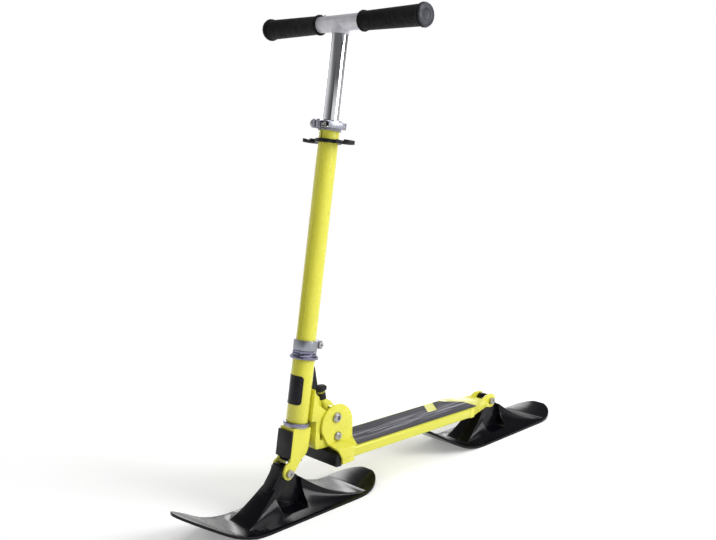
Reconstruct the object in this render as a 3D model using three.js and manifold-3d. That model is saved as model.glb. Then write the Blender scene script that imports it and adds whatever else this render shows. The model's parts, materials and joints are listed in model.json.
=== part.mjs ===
// A folding snow scooter: a kick scooter frame that stands on two moulded skis.
// Millimetres. +X is the way it travels, +Y the rider's left, +Z up, and the soles lie at Z = 0.

import * as THREE from 'three';
import { mergeVertices } from 'three/addons/utils/BufferGeometryUtils.js';
import Module from 'manifold-3d';

const wasm = await Module();
wasm.setup();

// Driving sizes of the whole scooter

const gap = 0.3;
const overrun = 6;
const runningClearance = 0.4;

const steering = { belowAxle: 11, leanDegrees: 9.2 };
const frontAxle = { forward: 18, height: 73 };
const fold = { behind: 88, clearance: 1.5, degrees: 80 };
const skewerSeat = { behind: 86, clearance: 17 };

const ski = {
  halfWidth: 53.5,
  thickness: 4.5,
  noseReach: 218,
  noseFlat: 70,
  noseRadius: 157,
  noseDegrees: 31,
  noseRound: 150,
  tailReach: 206,
  tailFlat: 128,
  tailRadius: 213,
  tailRound: 69,
  grooveWidth: 8,
  grooveDepth: 1.2,
  grooveOffset: 24,
};
const saddle = {
  belowAxle: 2,
  spread: 0.65,
  topFront: 10,
  topRear: 12,
  frontReach: 96,
  rearReach: 164,
  frontHalfWidth: 28,
  rearHalfWidth: 49,
  footHalfWidth: 49,
  footDepth: 2.5,
  lipHeight: 1,
  postRadius: 11.5,
  pocketFront: 30,
  pocketRear: 24,
  pocketFloor: 15,
  pocketRound: 9,
};
const sleeve = { outer: 6 };
const axleBolt = { radius: 4, headRadius: 7, headThick: 5, nutAcross: 13, nutThick: 6.5, tail: 3 };

const blade = { thick: 4, innerHalf: 13, endRadius: 11.5, kneeHeight: 27 };
const forkTop = { height: 83, plate: 5, rear: 20, front: 20 };
const steerer = { slack: 0.7, wall: 2.8, insert: 77.5 };
const bumper = {
  clearance: 5.5,
  flangeHalf: 17.6,
  flangeBottom: 33,
  flangeDrop: 5,
  flangeThick: 4.5,
  edge: 1.5,
  noseBottom: 17,
  back: 10,
};

const headTube = { length: 108, step: 1.8, wall: 1.8 };
const headset = {
  upperRim: 5.7,
  lowerRim: 4.2,
  bowl: 4.6,
  floor: 1.2,
  wall: 1.4,
  skirt: 10,
  lowerStack: 8.5,
  raceThick: 4,
  raceRim: 2.2,
  nutWall: 4.2,
  nutThick: 4.5,
};
const bearing = { ballRadius: 1.6, outset: 1.4, cage: 0.5, count: 14 };

const column = { outer: 17, wall: 2.5, clearance: 1, length: 378.5, slitWidth: 3, slitLength: 24 };
const collar = {
  wall: 3.5,
  height: 17,
  earLength: 12.5,
  earHalf: 8,
  slit: 1.5,
  boltRadius: 3,
  boltHeadRadius: 5,
  boltHeadThick: 3,
};
const topCollar = {
  wall: 2.5,
  overlap: 11,
  height: 17,
  earLength: 13.5,
  earHalf: 9,
  slit: 1.5,
  skewerOutset: 9,
};
const skewerRod = { radius: 3.5, seatRadius: 9, seatThick: 5 };
const cam = { radius: 7, pinRadius: 2.5, pinSlack: 0.4, washer: 2, slotHalf: 4.2 };
const topLever = { thick: 11, clearance: 1.2, wall: 4.5, sweepDegrees: 78, tipFlare: 5 };
const foldLever = { width: 14, length: 82, thick: 7, tipThick: 4.5, tipWidth: 8, tipLead: 5 };

const clip = {
  belowTop: 31,
  thick: 6,
  ringWall: 5.5,
  hookOutset: 24,
  hookSlack: 0.5,
  hookWall: 4,
  mouth: 8.5,
  armHalf: 7,
};

const tbar = { slack: 0.5, wall: 1.8, insert: 165, rise: 167.5, bushLength: 22 };
const tHead = {
  wall: 2.3,
  halfLength: 50,
  spigotLength: 26,
  spigotWall: 2,
  collarStep: 0.6,
  collarHeight: 19,
};
const handle = { outer: 11, wall: 2, inset: 8 };
const grip = {
  innerEnd: 15.5,
  outerEnd: 17,
  innerFlange: 17.4,
  outerFlange: 19.2,
  flangeThick: 3.5,
  edge: 1.2,
  length: 132,
};
const endCap = { radius: 18.6, thick: 3.2, plugLength: 16, dimpleRadius: 9, dimpleDepth: 1 };
const button = { radius: 3.2, reach: 42, stand: 2.2, footRadius: 4.6, footThick: 1.5 };
const leaf = { thick: 0.8, width: 7, length: 44 };

const deck = {
  front: 84,
  length: 352,
  aboveAxle: 19.5,
  halfWidth: 42,
  thick: 18,
  slopeDegrees: 1.5,
  skin: 3,
  rail: 3.2,
  lip: 9,
  rib: 2.5,
  ribOffset: 15,
  ribDepth: 11,
  edgeRound: 3.5,
};
const tape = {
  thick: 0.9,
  inset: 5.5,
  front: 40,
  beyondDeck: 28,
  notchFromRear: 54,
  notchLength: 28,
  round: 6,
};
const nose = { reach: 18, inset: 0.5, height: 23, drop: 12, round: 6, wall: 3.5, tongue: 14 };
const sidePlate = {
  thick: 4,
  slack: 0.8,
  front: 52,
  rear: 124,
  bendTop: 11.5,
  bendBottom: 5,
  bottom: 22.5,
  slantTop: 35.5,
  slantBottom: 12.5,
  lowerFront: 78,
  lowerRear: 106,
  crownDrop: 13,
};
const rearFork = {
  reach: 102,
  lap: 26,
  taperEnd: 86,
  slotStart: 74,
  endRadius: 14,
  round: 5,
};

const knuckle = {
  halfWidth: 18,
  cheek: 4.5,
  bossRadius: 19,
  rim: 10,
  webTop: 56.5,
  webNeck: 30.5,
  slotSlack: 0.5,
};
const pivotBolt = {
  radius: 5,
  headRadius: 8,
  headThick: 4,
  nutAcross: 13,
  nutThick: 5,
  tail: 2,
  bushWall: 2,
};
const latch = {
  leadDegrees: 9,
  rodRadius: 3,
  collarRadius: 4.6,
  collarThick: 3,
  barrelOuter: 6.6,
  barrelLength: 33,
  capThick: 3,
  rise: 2,
  knobRadius: 11,
  knobHeight: 8.5,
  knobEdge: 2.5,
};
const spring = { wire: 0.7, turns: 5, steps: 8 };

// Radii and widths that follow from the sizes above

const columnInner = column.outer - column.wall;
const tbarOuter = columnInner - tbar.slack;
const tbarInner = tbarOuter - tbar.wall;
const steererOuter = columnInner - steerer.slack;
const steererInner = steererOuter - steerer.wall;
const headTubeOuter = column.outer + headTube.step;
const headTubeInner = headTubeOuter - headTube.wall;
const upperRadius = headTubeOuter + headset.upperRim;
const lowerRadius = headTubeOuter + headset.lowerRim;
const ballCircle = headTubeInner + bearing.outset;
const topCollarOuter = column.outer + topCollar.wall;
const skewerReach = column.outer + topCollar.skewerOutset;
const hookReach = column.outer + clip.hookOutset;
const hookInner = handle.outer + clip.hookSlack;
const handleInner = handle.outer - handle.wall;
const sleeveOnHandle = handle.outer + gap;
const tHeadOuter = sleeveOnHandle + tHead.wall;
const neckHalf = blade.innerHalf - runningClearance;
const upperInner = knuckle.halfWidth + sidePlate.slack;
const lowerInner = deck.halfWidth + gap;

// Heights that follow from the sizes above, the ones of the steering measured along its axis

const steeringHeight = frontAxle.height - steering.belowAxle;
const saddleTop = frontAxle.height - saddle.belowAxle;
const deckTop = frontAxle.height + deck.aboveAxle;
const foldHeight = deckTop + knuckle.bossRadius + fold.clearance;
const seatHeight = foldHeight + pivotBolt.headRadius + skewerSeat.clearance + skewerRod.seatRadius;
const tubeFoot = forkTop.height + headset.lowerStack;
const tubeTop = tubeFoot + headTube.length;
const raceFoot = tubeTop + gap + headset.bowl + gap;
const nutFoot = raceFoot + headset.raceThick + gap;
const columnFoot = nutFoot + headset.nutThick + column.clearance;
const columnTop = columnFoot + column.length;
const topCollarFoot = columnTop - topCollar.overlap;
const clipFoot = columnTop - clip.belowTop;
const tbarFoot = columnTop - tbar.insert;
const tbarAxis = columnTop + tbar.rise;

// Finishes

const finish = (color, roughness, metalness) =>
  new THREE.MeshStandardMaterial({ color, roughness, metalness });
const yellowPaint = () => finish('#c9cf2f', 0.35, 0);
const blackPlastic = () => finish('#18181b', 0.5, 0);
const blackRubber = () => finish('#121214', 0.85, 0);
const chrome = () => finish('#c6c8cc', 0.12, 1);
const brushedSteel = () => finish('#a9abb0', 0.35, 1);
const zincSteel = () => finish('#8f9196', 0.45, 1);
const darkLever = () => finish('#2a2a2e', 0.5, 0.2);
const gripTape = () => finish('#4c4b52', 0.95, 0);
const brassRing = () => finish('#9c7b3a', 0.4, 1);

// Small tools for shapes

const radians = THREE.MathUtils.degToRad;
const fine = 30;
const medium = 18;
const coarse = 12;
const hex = 6;

function closedMesh(geometry) {
  const bare = new THREE.BufferGeometry();
  bare.setAttribute('position', geometry.getAttribute('position').clone());
  if (geometry.index) bare.setIndex(geometry.index.clone());
  const merged = mergeVertices(bare);
  const at = merged.getAttribute('position');
  const corners = merged.index.array;
  const kept = [];
  let volume = 0;
  const a = new THREE.Vector3();
  const b = new THREE.Vector3();
  const c = new THREE.Vector3();
  for (let i = 0; i < corners.length; i += 3) {
    const [p, q, r] = [corners[i], corners[i + 1], corners[i + 2]];
    if (p === q || q === r || r === p) continue;
    kept.push(p, q, r);
    a.fromBufferAttribute(at, p);
    b.fromBufferAttribute(at, q);
    c.fromBufferAttribute(at, r);
    volume += a.dot(b.cross(c));
  }
  if (volume < 0) kept.reverse();
  return { vertProperties: new Float32Array(at.array), triVerts: new Uint32Array(kept) };
}

const solid = (geometry) => new wasm.Manifold(new wasm.Mesh({ numProp: 3, ...closedMesh(geometry) }));

function join(first, ...others) {
  return others.reduce((all, next) => all.add(next), first);
}

function cut(body, ...tools) {
  return tools.reduce((left, tool) => left.subtract(tool), body);
}

function geometryOf(manifold) {
  const mesh = manifold.getMesh();
  const geometry = new THREE.BufferGeometry();
  geometry.setAttribute('position', new THREE.BufferAttribute(mesh.vertProperties, 3));
  geometry.setIndex(new THREE.BufferAttribute(mesh.triVerts, 1));
  geometry.computeVertexNormals();
  return geometry;
}

function mirrored(geometry) {
  const copy = geometry.index ? geometry.toNonIndexed() : geometry.clone();
  copy.scale(1, -1, 1);
  const at = copy.getAttribute('position');
  for (let i = 0; i < at.count; i += 3) {
    const swap = new THREE.Vector3().fromBufferAttribute(at, i);
    at.setXYZ(i, at.getX(i + 1), at.getY(i + 1), at.getZ(i + 1));
    at.setXYZ(i + 1, swap.x, swap.y, swap.z);
  }
  return copy;
}

function revolve(profile, steps = medium) {
  const points = profile.map(([r, z]) => new THREE.Vector2(r, z));
  if (points[0].x > 0) points.push(points[0].clone());
  return new THREE.LatheGeometry(points, steps).rotateX(Math.PI / 2);
}

// The radius at the corners of a faceted circle whose flats lie at the given radius
const cornerRadius = (flat, steps = coarse) => flat / Math.cos(Math.PI / steps);

const rod = (radius, from, to, steps = coarse) =>
  revolve([[0, from], [radius, from], [radius, to], [0, to]], steps);

const tube = (outer, inner, from, to, steps = medium) =>
  revolve([[inner, from], [outer, from], [outer, to], [inner, to]], steps);

const alongY = (geometry) => geometry.rotateX(-Math.PI / 2);
const alongX = (geometry) => geometry.rotateY(Math.PI / 2);

function shapeOf(points) {
  return new THREE.Shape(points.map(([x, y]) => new THREE.Vector2(x, y)));
}

function roundedShape(points, radius) {
  const corners = points.map(([x, y]) => new THREE.Vector2(x, y));
  const shape = new THREE.Shape();
  corners.forEach((corner, i) => {
    const before = corners[(i + corners.length - 1) % corners.length];
    const after = corners[(i + 1) % corners.length];
    const inLength = Math.min(radius, corner.distanceTo(before) / 2);
    const outLength = Math.min(radius, corner.distanceTo(after) / 2);
    const start = corner.clone().lerp(before, inLength / corner.distanceTo(before));
    const end = corner.clone().lerp(after, outLength / corner.distanceTo(after));
    if (i === 0) shape.moveTo(start.x, start.y);
    else shape.lineTo(start.x, start.y);
    shape.quadraticCurveTo(corner.x, corner.y, end.x, end.y);
  });
  return shape;
}

function extruded(shape, depth, curveSegments = 6) {
  return new THREE.ExtrudeGeometry(shape, { depth, bevelEnabled: false, curveSegments });
}

// A side outline holds X and Z, a plan outline X and Y, and a section outline Y and Z.
const fromSide = (shape, y0, y1, segments) =>
  extruded(shape, y1 - y0, segments).rotateX(Math.PI / 2).translate(0, y1, 0);
const fromPlan = (shape, z0, z1, segments) => extruded(shape, z1 - z0, segments).translate(0, 0, z0);
const sectionTurn = new THREE.Matrix4().makeBasis(
  new THREE.Vector3(0, 1, 0),
  new THREE.Vector3(0, 0, 1),
  new THREE.Vector3(1, 0, 0),
);
const fromSection = (shape, x0, x1, segments) =>
  extruded(shape, x1 - x0, segments).applyMatrix4(sectionTurn).translate(x0, 0, 0);

const block = (x0, x1, y0, y1, z0, z1) =>
  new THREE.BoxGeometry(x1 - x0, y1 - y0, z1 - z0).translate((x0 + x1) / 2, (y0 + y1) / 2, (z0 + z1) / 2);

function loft(sections) {
  const count = sections[0].length;
  const positions = sections.flat().flatMap((point) => point.toArray());
  const index = [];
  for (let i = 0; i < sections.length - 1; i += 1) {
    for (let k = 0; k < count; k += 1) {
      const [a, b] = [i * count + k, i * count + ((k + 1) % count)];
      index.push(a, b, b + count, a, b + count, a + count);
    }
  }
  const last = (sections.length - 1) * count;
  for (let k = 0; k < count / 2 - 1; k += 1) {
    const [p, q, r, s] = [k, k + 1, count - 2 - k, count - 1 - k];
    index.push(p, r, q, p, s, r, last + p, last + q, last + r, last + p, last + r, last + s);
  }
  const geometry = new THREE.BufferGeometry();
  geometry.setAttribute('position', new THREE.Float32BufferAttribute(positions, 3));
  geometry.setIndex(index);
  return geometry;
}

// The scene graph: everything that steers hangs in one leaning group, the deck in one sloping group

const scooter = new THREE.Group();
const steeringFrame = new THREE.Group();
const deckFrame = new THREE.Group();
scooter.add(steeringFrame, deckFrame);

const lean = radians(steering.leanDegrees);
steeringFrame.position.set(0, 0, steeringHeight);
steeringFrame.rotation.y = -lean;
const slope = radians(deck.slopeDegrees);
deckFrame.position.set(-deck.front, 0, deckTop);
deckFrame.rotation.y = -slope;

function add(parent, name, shape, material) {
  const geometry = shape.isBufferGeometry ? geometryOf(solid(shape)) : geometryOf(shape);
  const mesh = new THREE.Mesh(geometry, material);
  mesh.name = name;
  parent.add(mesh);
  return mesh;
}

function inSteering(x, z) {
  const up = z - steeringHeight;
  return { x: x * Math.cos(lean) + up * Math.sin(lean), z: up * Math.cos(lean) - x * Math.sin(lean) };
}

function inDeck(x, z) {
  const [dx, dz] = [x + deck.front, z - deckTop];
  return { x: dx * Math.cos(slope) + dz * Math.sin(slope), z: dz * Math.cos(slope) - dx * Math.sin(slope) };
}

const axleAt = inSteering(frontAxle.forward, frontAxle.height);
const pivotAt = inSteering(-fold.behind, foldHeight);
const seatAt = inSteering(-skewerSeat.behind, seatHeight);
const rearAxleX = -deck.front - deck.length - rearFork.reach;
const rearAxleAt = inDeck(rearAxleX, frontAxle.height);
const bladeOuter = blade.innerHalf + blade.thick;

// Skis: a bent plate trimmed to its plan, with a flared saddle that carries the axle

function skiPlate() {
  const bottom = [];
  const top = [];
  const place = (x, z, angle) => {
    bottom.push([x, z]);
    top.push([x - ski.thickness * Math.sin(angle), z + ski.thickness * Math.cos(angle)]);
  };
  const bendSteps = 6;
  const tailAngle = Math.asin((ski.tailReach - ski.tailFlat) / ski.tailRadius);
  for (let i = bendSteps; i >= 0; i -= 1) {
    const angle = (tailAngle * i) / bendSteps;
    place(-ski.tailFlat - ski.tailRadius * Math.sin(angle), ski.tailRadius * (1 - Math.cos(angle)), -angle);
  }
  const noseAngle = radians(ski.noseDegrees);
  for (let i = 0; i <= bendSteps; i += 1) {
    const angle = (noseAngle * i) / bendSteps;
    place(ski.noseFlat + ski.noseRadius * Math.sin(angle), ski.noseRadius * (1 - Math.cos(angle)), angle);
  }
  const bendEnd = ski.noseFlat + ski.noseRadius * Math.sin(noseAngle);
  const rise = ski.noseRadius * (1 - Math.cos(noseAngle));
  place(ski.noseReach, rise + (ski.noseReach - bendEnd) * Math.tan(noseAngle), noseAngle);
  const strip = fromSide(
    shapeOf([...bottom, ...top.reverse()]),
    -ski.halfWidth - overrun,
    ski.halfWidth + overrun,
  );

  const plan = new THREE.Shape();
  plan.moveTo(-ski.tailReach + ski.tailRound, -ski.halfWidth);
  plan.lineTo(ski.noseReach - ski.noseRound, -ski.halfWidth);
  plan.absellipse(
    ski.noseReach - ski.noseRound,
    0,
    ski.noseRound,
    ski.halfWidth,
    -Math.PI / 2,
    Math.PI / 2,
  );
  plan.lineTo(-ski.tailReach + ski.tailRound, ski.halfWidth);
  plan.absellipse(
    -ski.tailReach + ski.tailRound,
    0,
    ski.tailRound,
    ski.halfWidth,
    Math.PI / 2,
    (3 * Math.PI) / 2,
  );
  return solid(strip).intersect(solid(fromPlan(plan, -overrun, saddleTop, 9)));
}

function saddleBody() {
  const frontSharpness = 1.25;
  const rearSharpness = 2.05;
  const flare = 1.7;
  const flankSteps = 6;
  const stations = 12;
  const foot = ski.thickness + saddle.lipHeight;
  const section = (x, height, topHalf, footHalf) => {
    const left = [];
    for (let i = 0; i <= flankSteps; i += 1) {
      const up = i / flankSteps;
      const y = topHalf + (footHalf - topHalf) * (1 - up) ** (1 + flare * up);
      left.push([y, saddle.footDepth + (height - saddle.footDepth) * up]);
    }
    const ring = [...left.map(([y, z]) => [-y, z]), ...left.reverse()];
    return ring.map(([y, z]) => new THREE.Vector3(x, y, z));
  };
  const sections = [];
  for (let i = stations; i > 0; i -= 1) {
    const u = i / stations;
    const x = -saddle.topRear - (saddle.rearReach - saddle.topRear) * u;
    const height = foot + (saddleTop - foot) * (1 - u) ** rearSharpness;
    const topHalf = neckHalf + (saddle.rearHalfWidth - neckHalf) * u ** saddle.spread;
    sections.push(section(x, height, topHalf, saddle.footHalfWidth));
  }
  sections.push(section(-saddle.topRear, saddleTop, neckHalf, saddle.footHalfWidth));
  for (let i = 0; i <= stations; i += 1) {
    const u = i / stations;
    const x = saddle.topFront + (saddle.frontReach - saddle.topFront) * u;
    const height = foot + (saddleTop - foot) * (1 - u) ** frontSharpness;
    const topHalf = neckHalf + (saddle.frontHalfWidth - neckHalf) * u;
    sections.push(section(x, height, topHalf, saddle.footHalfWidth));
  }
  return solid(loft(sections));
}

function skiSolid() {
  const post = fromSide(
    (() => {
      const shape = new THREE.Shape();
      shape.moveTo(-saddle.postRadius, saddleTop - saddle.topRear);
      shape.lineTo(saddle.postRadius, saddleTop - saddle.topRear);
      shape.lineTo(saddle.postRadius, frontAxle.height);
      shape.absarc(0, frontAxle.height, saddle.postRadius, 0, Math.PI);
      return shape;
    })(),
    -neckHalf,
    neckHalf,
    10,
  );
  const pocketOutline = roundedShape(
    [
      [-saddle.pocketRear, saddle.pocketFloor],
      [saddle.pocketFront, saddle.pocketFloor],
      [saddle.pocketFront, frontAxle.height + saddle.postRadius + overrun],
      [-saddle.pocketRear, frontAxle.height + saddle.postRadius + overrun],
    ],
    saddle.pocketRound,
  );
  const pocket = fromSide(pocketOutline, neckHalf, ski.halfWidth + overrun);
  const boreRadius = cornerRadius(sleeve.outer + runningClearance / 2, medium);
  const bore = alongY(
    rod(boreRadius, -ski.halfWidth, ski.halfWidth, medium),
  ).translate(0, 0, frontAxle.height);
  const grooves = [-1, 1].map((side) => {
    const middle = side * ski.grooveOffset;
    const half = ski.grooveWidth / 2;
    const outline = roundedShape(
      [
        [-ski.tailFlat, middle - half],
        [ski.noseFlat, middle - half],
        [ski.noseFlat, middle + half],
        [-ski.tailFlat, middle + half],
      ],
      half,
    );
    return solid(fromPlan(outline, -overrun, ski.grooveDepth, 3));
  });
  return cut(
    join(skiPlate(), saddleBody(), solid(post)),
    solid(pocket),
    solid(mirrored(pocket)),
    solid(bore),
    ...grooves,
  );
}

function skiSleeve() {
  const half = blade.innerHalf - gap;
  return alongY(
    tube(sleeve.outer, axleBolt.radius + gap, -half, half, coarse),
  ).translate(0, 0, frontAxle.height);
}

const skiShape = geometryOf(skiSolid());
for (const [name, x] of [['front', frontAxle.forward], ['rear', rearAxleX]]) {
  const carrier = new THREE.Group();
  carrier.position.x = x;
  scooter.add(carrier);
  add(carrier, `${name}_ski`, skiShape.clone(), blackPlastic());
  add(carrier, `${name}_ski_sleeve`, skiSleeve(), zincSteel());
}

// Bolts and nuts that lie along Y

function crossBolt(bolt, at, outer) {
  const head = alongY(rod(bolt.headRadius, outer + gap, outer + gap + bolt.headThick, hex * 2));
  const shank = alongY(
    rod(bolt.radius, -outer - bolt.nutThick - bolt.tail, outer + gap + bolt.headThick / 2),
  );
  return join(solid(shank), solid(head)).translate([at.x, 0, at.z]);
}

function hexNut(across, bore, from, to) {
  return cut(
    solid(alongY(rod(cornerRadius(across / 2, hex), from, to, hex))),
    solid(alongY(rod(bore, from - overrun, to + overrun))),
  );
}

function crossNut(bolt, at, outer) {
  const nut = hexNut(bolt.nutAcross, bolt.radius + gap, -outer - gap - bolt.nutThick, -outer - gap);
  return nut.translate([at.x, 0, at.z]);
}

add(steeringFrame, 'front_axle_bolt', crossBolt(axleBolt, axleAt, bladeOuter), zincSteel());
add(steeringFrame, 'front_axle_nut', crossNut(axleBolt, axleAt, bladeOuter), zincSteel());
add(deckFrame, 'rear_axle_bolt', crossBolt(axleBolt, rearAxleAt, bladeOuter), zincSteel());
add(deckFrame, 'rear_axle_nut', crossNut(axleBolt, rearAxleAt, bladeOuter), zincSteel());

// Fork: a crown with two dog-legged blades and the steerer tube

function bladeOutline() {
  const knee = blade.kneeHeight;
  const shape = new THREE.Shape();
  shape.moveTo(-forkTop.rear, forkTop.height);
  shape.lineTo(-forkTop.rear, forkTop.height - blade.endRadius);
  shape.quadraticCurveTo(-forkTop.rear, knee + blade.endRadius, -blade.endRadius / 2, knee + blade.thick);
  shape.lineTo(axleAt.x - blade.endRadius, axleAt.z);
  shape.absarc(axleAt.x, axleAt.z, blade.endRadius, Math.PI, 2 * Math.PI);
  shape.quadraticCurveTo(axleAt.x + blade.endRadius, knee - blade.thick, forkTop.front, knee);
  shape.lineTo(forkTop.front, forkTop.height);
  return shape;
}

function forkSolid() {
  const outline = bladeOutline();
  const left = fromSide(outline, blade.innerHalf, bladeOuter, 8);
  const crown = fromSide(
    shapeOf([
      [-forkTop.rear, forkTop.height - forkTop.plate],
      [forkTop.front, forkTop.height - forkTop.plate],
      [forkTop.front, forkTop.height],
      [-forkTop.rear, forkTop.height],
    ]),
    -bladeOuter,
    bladeOuter,
  );
  const backPlate = block(
    -forkTop.rear,
    -forkTop.rear + blade.thick,
    -bladeOuter,
    bladeOuter,
    forkTop.height - blade.endRadius * 2,
    forkTop.height,
  );
  const stem = tube(
    steererOuter,
    steererInner,
    forkTop.height - forkTop.plate,
    columnFoot + steerer.insert,
    medium,
  );
  const bore = rod(
    steererInner,
    forkTop.height - forkTop.plate - overrun,
    forkTop.height + overrun,
    medium,
  );
  const axleHole = alongY(
    rod(axleBolt.radius + gap, -bladeOuter - overrun, bladeOuter + overrun),
  ).translate(axleAt.x, 0, axleAt.z);
  const round = fromPlan(
    roundedShape(
      [
        [-forkTop.rear, -bladeOuter],
        [axleAt.x + blade.endRadius, -bladeOuter],
        [axleAt.x + blade.endRadius, bladeOuter],
        [-forkTop.rear, bladeOuter],
      ],
      blade.thick,
    ),
    -steeringHeight,
    forkTop.height,
  );
  const frame = join(
    solid(left),
    solid(mirrored(left)),
    solid(crown),
    solid(backPlate),
  ).intersect(solid(round));
  return cut(join(frame, solid(stem)), solid(bore), solid(axleHole));
}

add(steeringFrame, 'fork', forkSolid(), yellowPaint());

// Stop block between the blades, which keeps the ski's neck central and limits its tilt

function bumperSolid() {
  const half = blade.innerHalf - gap;
  const top = forkTop.height - forkTop.plate - gap;
  const flangeAt = forkTop.front + gap;
  const bottom = axleAt.z + saddle.postRadius + bumper.clearance;
  const core = fromSide(
    roundedShape(
      [
        [-bumper.back, bottom],
        [bumper.noseBottom, bottom],
        [flangeAt + bumper.edge, bumper.flangeBottom + bumper.flangeThick],
        [flangeAt + bumper.edge, top],
        [-bumper.back, top],
      ],
      bumper.edge,
    ),
    -half,
    half,
    3,
  );
  const flange = fromPlan(
    roundedShape(
      [
        [flangeAt, -bumper.flangeHalf],
        [flangeAt + bumper.flangeThick, -bumper.flangeHalf],
        [flangeAt + bumper.flangeThick, bumper.flangeHalf],
        [flangeAt, bumper.flangeHalf],
      ],
      bumper.edge,
    ),
    bumper.flangeBottom,
    forkTop.height - bumper.flangeDrop,
    2,
  );
  return join(solid(core), solid(flange));
}

add(steeringFrame, 'stop_block', bumperSolid(), blackPlastic());

// Head tube with the folding knuckle

const seatReach = Math.hypot(seatAt.x - pivotAt.x, seatAt.z - pivotAt.z);
const seatAngle = Math.atan2(seatAt.z - pivotAt.z, seatAt.x - pivotAt.x);
const foldAngle = radians(fold.degrees);
const slotHalf = skewerRod.radius + runningClearance;
const rimRadius = seatReach + slotHalf + knuckle.rim;
const aroundPivot = (radius, angle) => [
  pivotAt.x + radius * Math.cos(angle),
  pivotAt.z + radius * Math.sin(angle),
];

function knuckleOutline() {
  const shape = new THREE.Shape();
  const rearTop = seatAngle + (slotHalf + knuckle.rim) / seatReach;
  const frontTop = seatAngle - knuckle.rim / seatReach;
  const frontLow = seatAngle - foldAngle - (slotHalf + knuckle.rim) / seatReach;
  const insideTube = -(headTubeOuter + headTubeInner) / 2;
  shape.moveTo(insideTube, tubeFoot + knuckle.webTop);
  shape.lineTo(-headTubeOuter - knuckle.rim, tubeFoot + knuckle.webNeck);
  shape.lineTo(...aroundPivot(rimRadius, frontTop));
  shape.absarc(pivotAt.x, pivotAt.z, rimRadius, frontTop, rearTop);
  shape.absarc(
    pivotAt.x,
    pivotAt.z,
    knuckle.bossRadius,
    rearTop + knuckle.rim / knuckle.bossRadius,
    frontLow + 1.5 * Math.PI,
  );
  shape.lineTo(...aroundPivot(rimRadius, frontLow));
  shape.absarc(pivotAt.x, pivotAt.z, rimRadius, frontLow, seatAngle - foldAngle);
  shape.lineTo(-headTubeOuter - knuckle.rim, tubeFoot + headset.wall);
  shape.lineTo(insideTube, tubeFoot + headset.wall);
  return shape;
}

function arcSlotOutline() {
  const shape = new THREE.Shape();
  const slack = knuckle.slotSlack / seatReach;
  const [low, high] = [seatAngle - foldAngle - slack, seatAngle + slack];
  shape.absarc(pivotAt.x, pivotAt.z, seatReach + slotHalf, low, high);
  shape.absarc(...aroundPivot(seatReach, high), slotHalf, high, high + Math.PI);
  shape.absarc(pivotAt.x, pivotAt.z, seatReach - slotHalf, high, low, true);
  shape.absarc(...aroundPivot(seatReach, low), slotHalf, low - Math.PI, low);
  return shape;
}

const latchAngle = seatAngle - radians(latch.leadDegrees);
const latchFoot = seatReach + skewerRod.radius + gap;
const barrelFoot = rimRadius - gap;

function alongLatch(geometry) {
  return geometry.rotateY(Math.PI / 2 - latchAngle).translate(pivotAt.x, 0, pivotAt.z);
}

function headTubeSolid() {
  const body = tube(headTubeOuter, headTubeInner, tubeFoot, tubeTop, fine);
  const web = solid(fromSide(knuckleOutline(), -knuckle.halfWidth, knuckle.halfWidth));
  const inside = knuckle.halfWidth - knuckle.cheek;
  const well = fromSide(
    shapeOf([
      aroundPivot(rimRadius + overrun, Math.PI),
      aroundPivot(rimRadius + overrun, -Math.PI / 2),
      [-headTubeOuter - knuckle.rim, tubeFoot],
      [-headTubeOuter - knuckle.rim, tubeFoot + knuckle.webNeck - knuckle.rim],
      aroundPivot(rimRadius + overrun, seatAngle),
    ]),
    -inside,
    inside,
  );
  const bossReach = pivotBolt.radius + pivotBolt.bushWall + gap;
  const boss = alongY(
    rod(bossReach + knuckle.cheek, -inside - gap, inside + gap, medium),
  ).translate(pivotAt.x, 0, pivotAt.z);
  const pivotHole = alongY(
    rod(bossReach, -knuckle.halfWidth - overrun, knuckle.halfWidth + overrun, medium),
  );
  const slot = fromSide(arcSlotOutline(), -knuckle.halfWidth - overrun, knuckle.halfWidth + overrun, 9);
  const bore = rod(headTubeInner, tubeFoot - overrun, tubeTop + overrun, fine);
  const holder = alongLatch(
    rod(latch.barrelOuter, barrelFoot - knuckle.rim, barrelFoot + latch.barrelLength, medium),
  );
  const holderBore = alongLatch(
    rod(
      latch.collarRadius + gap,
      latchFoot - overrun,
      barrelFoot + latch.barrelLength - latch.capThick,
      medium,
    ),
  );
  const rodHole = alongLatch(
    rod(latch.rodRadius + gap, latchFoot, barrelFoot + latch.barrelLength + overrun, medium),
  );
  const brace = fromSide(
    shapeOf([
      [-headTubeInner, tubeFoot + knuckle.webTop],
      aroundPivot(barrelFoot + latch.barrelLength / 2, latchAngle),
      aroundPivot(barrelFoot - knuckle.rim, latchAngle),
      [-headTubeInner, tubeFoot + knuckle.webNeck - knuckle.rim],
    ]),
    -knuckle.cheek / 2,
    knuckle.cheek / 2,
  );
  const carved = join(cut(web, solid(well)), solid(boss), solid(holder), solid(brace));
  return cut(
    join(carved, solid(body)),
    solid(pivotHole.translate(pivotAt.x, 0, pivotAt.z)),
    solid(slot),
    solid(bore),
    solid(holderBore),
    solid(rodHole),
  );
}

add(steeringFrame, 'head_tube', headTubeSolid(), yellowPaint());

// Latch: a sprung plunger that presses on the folding skewer, with a pull knob

function latchPlunger() {
  const collarFoot = barrelFoot;
  const top = barrelFoot + latch.barrelLength + latch.rise + latch.knobHeight / 2;
  return revolve(
    [
      [0, latchFoot],
      [latch.rodRadius - runningClearance, latchFoot],
      [latch.rodRadius - runningClearance, collarFoot],
      [latch.collarRadius - runningClearance, collarFoot],
      [latch.collarRadius - runningClearance, collarFoot + latch.collarThick],
      [latch.rodRadius - runningClearance, collarFoot + latch.collarThick],
      [latch.rodRadius - runningClearance, top],
      [0, top],
    ],
    coarse,
  );
}

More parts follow.
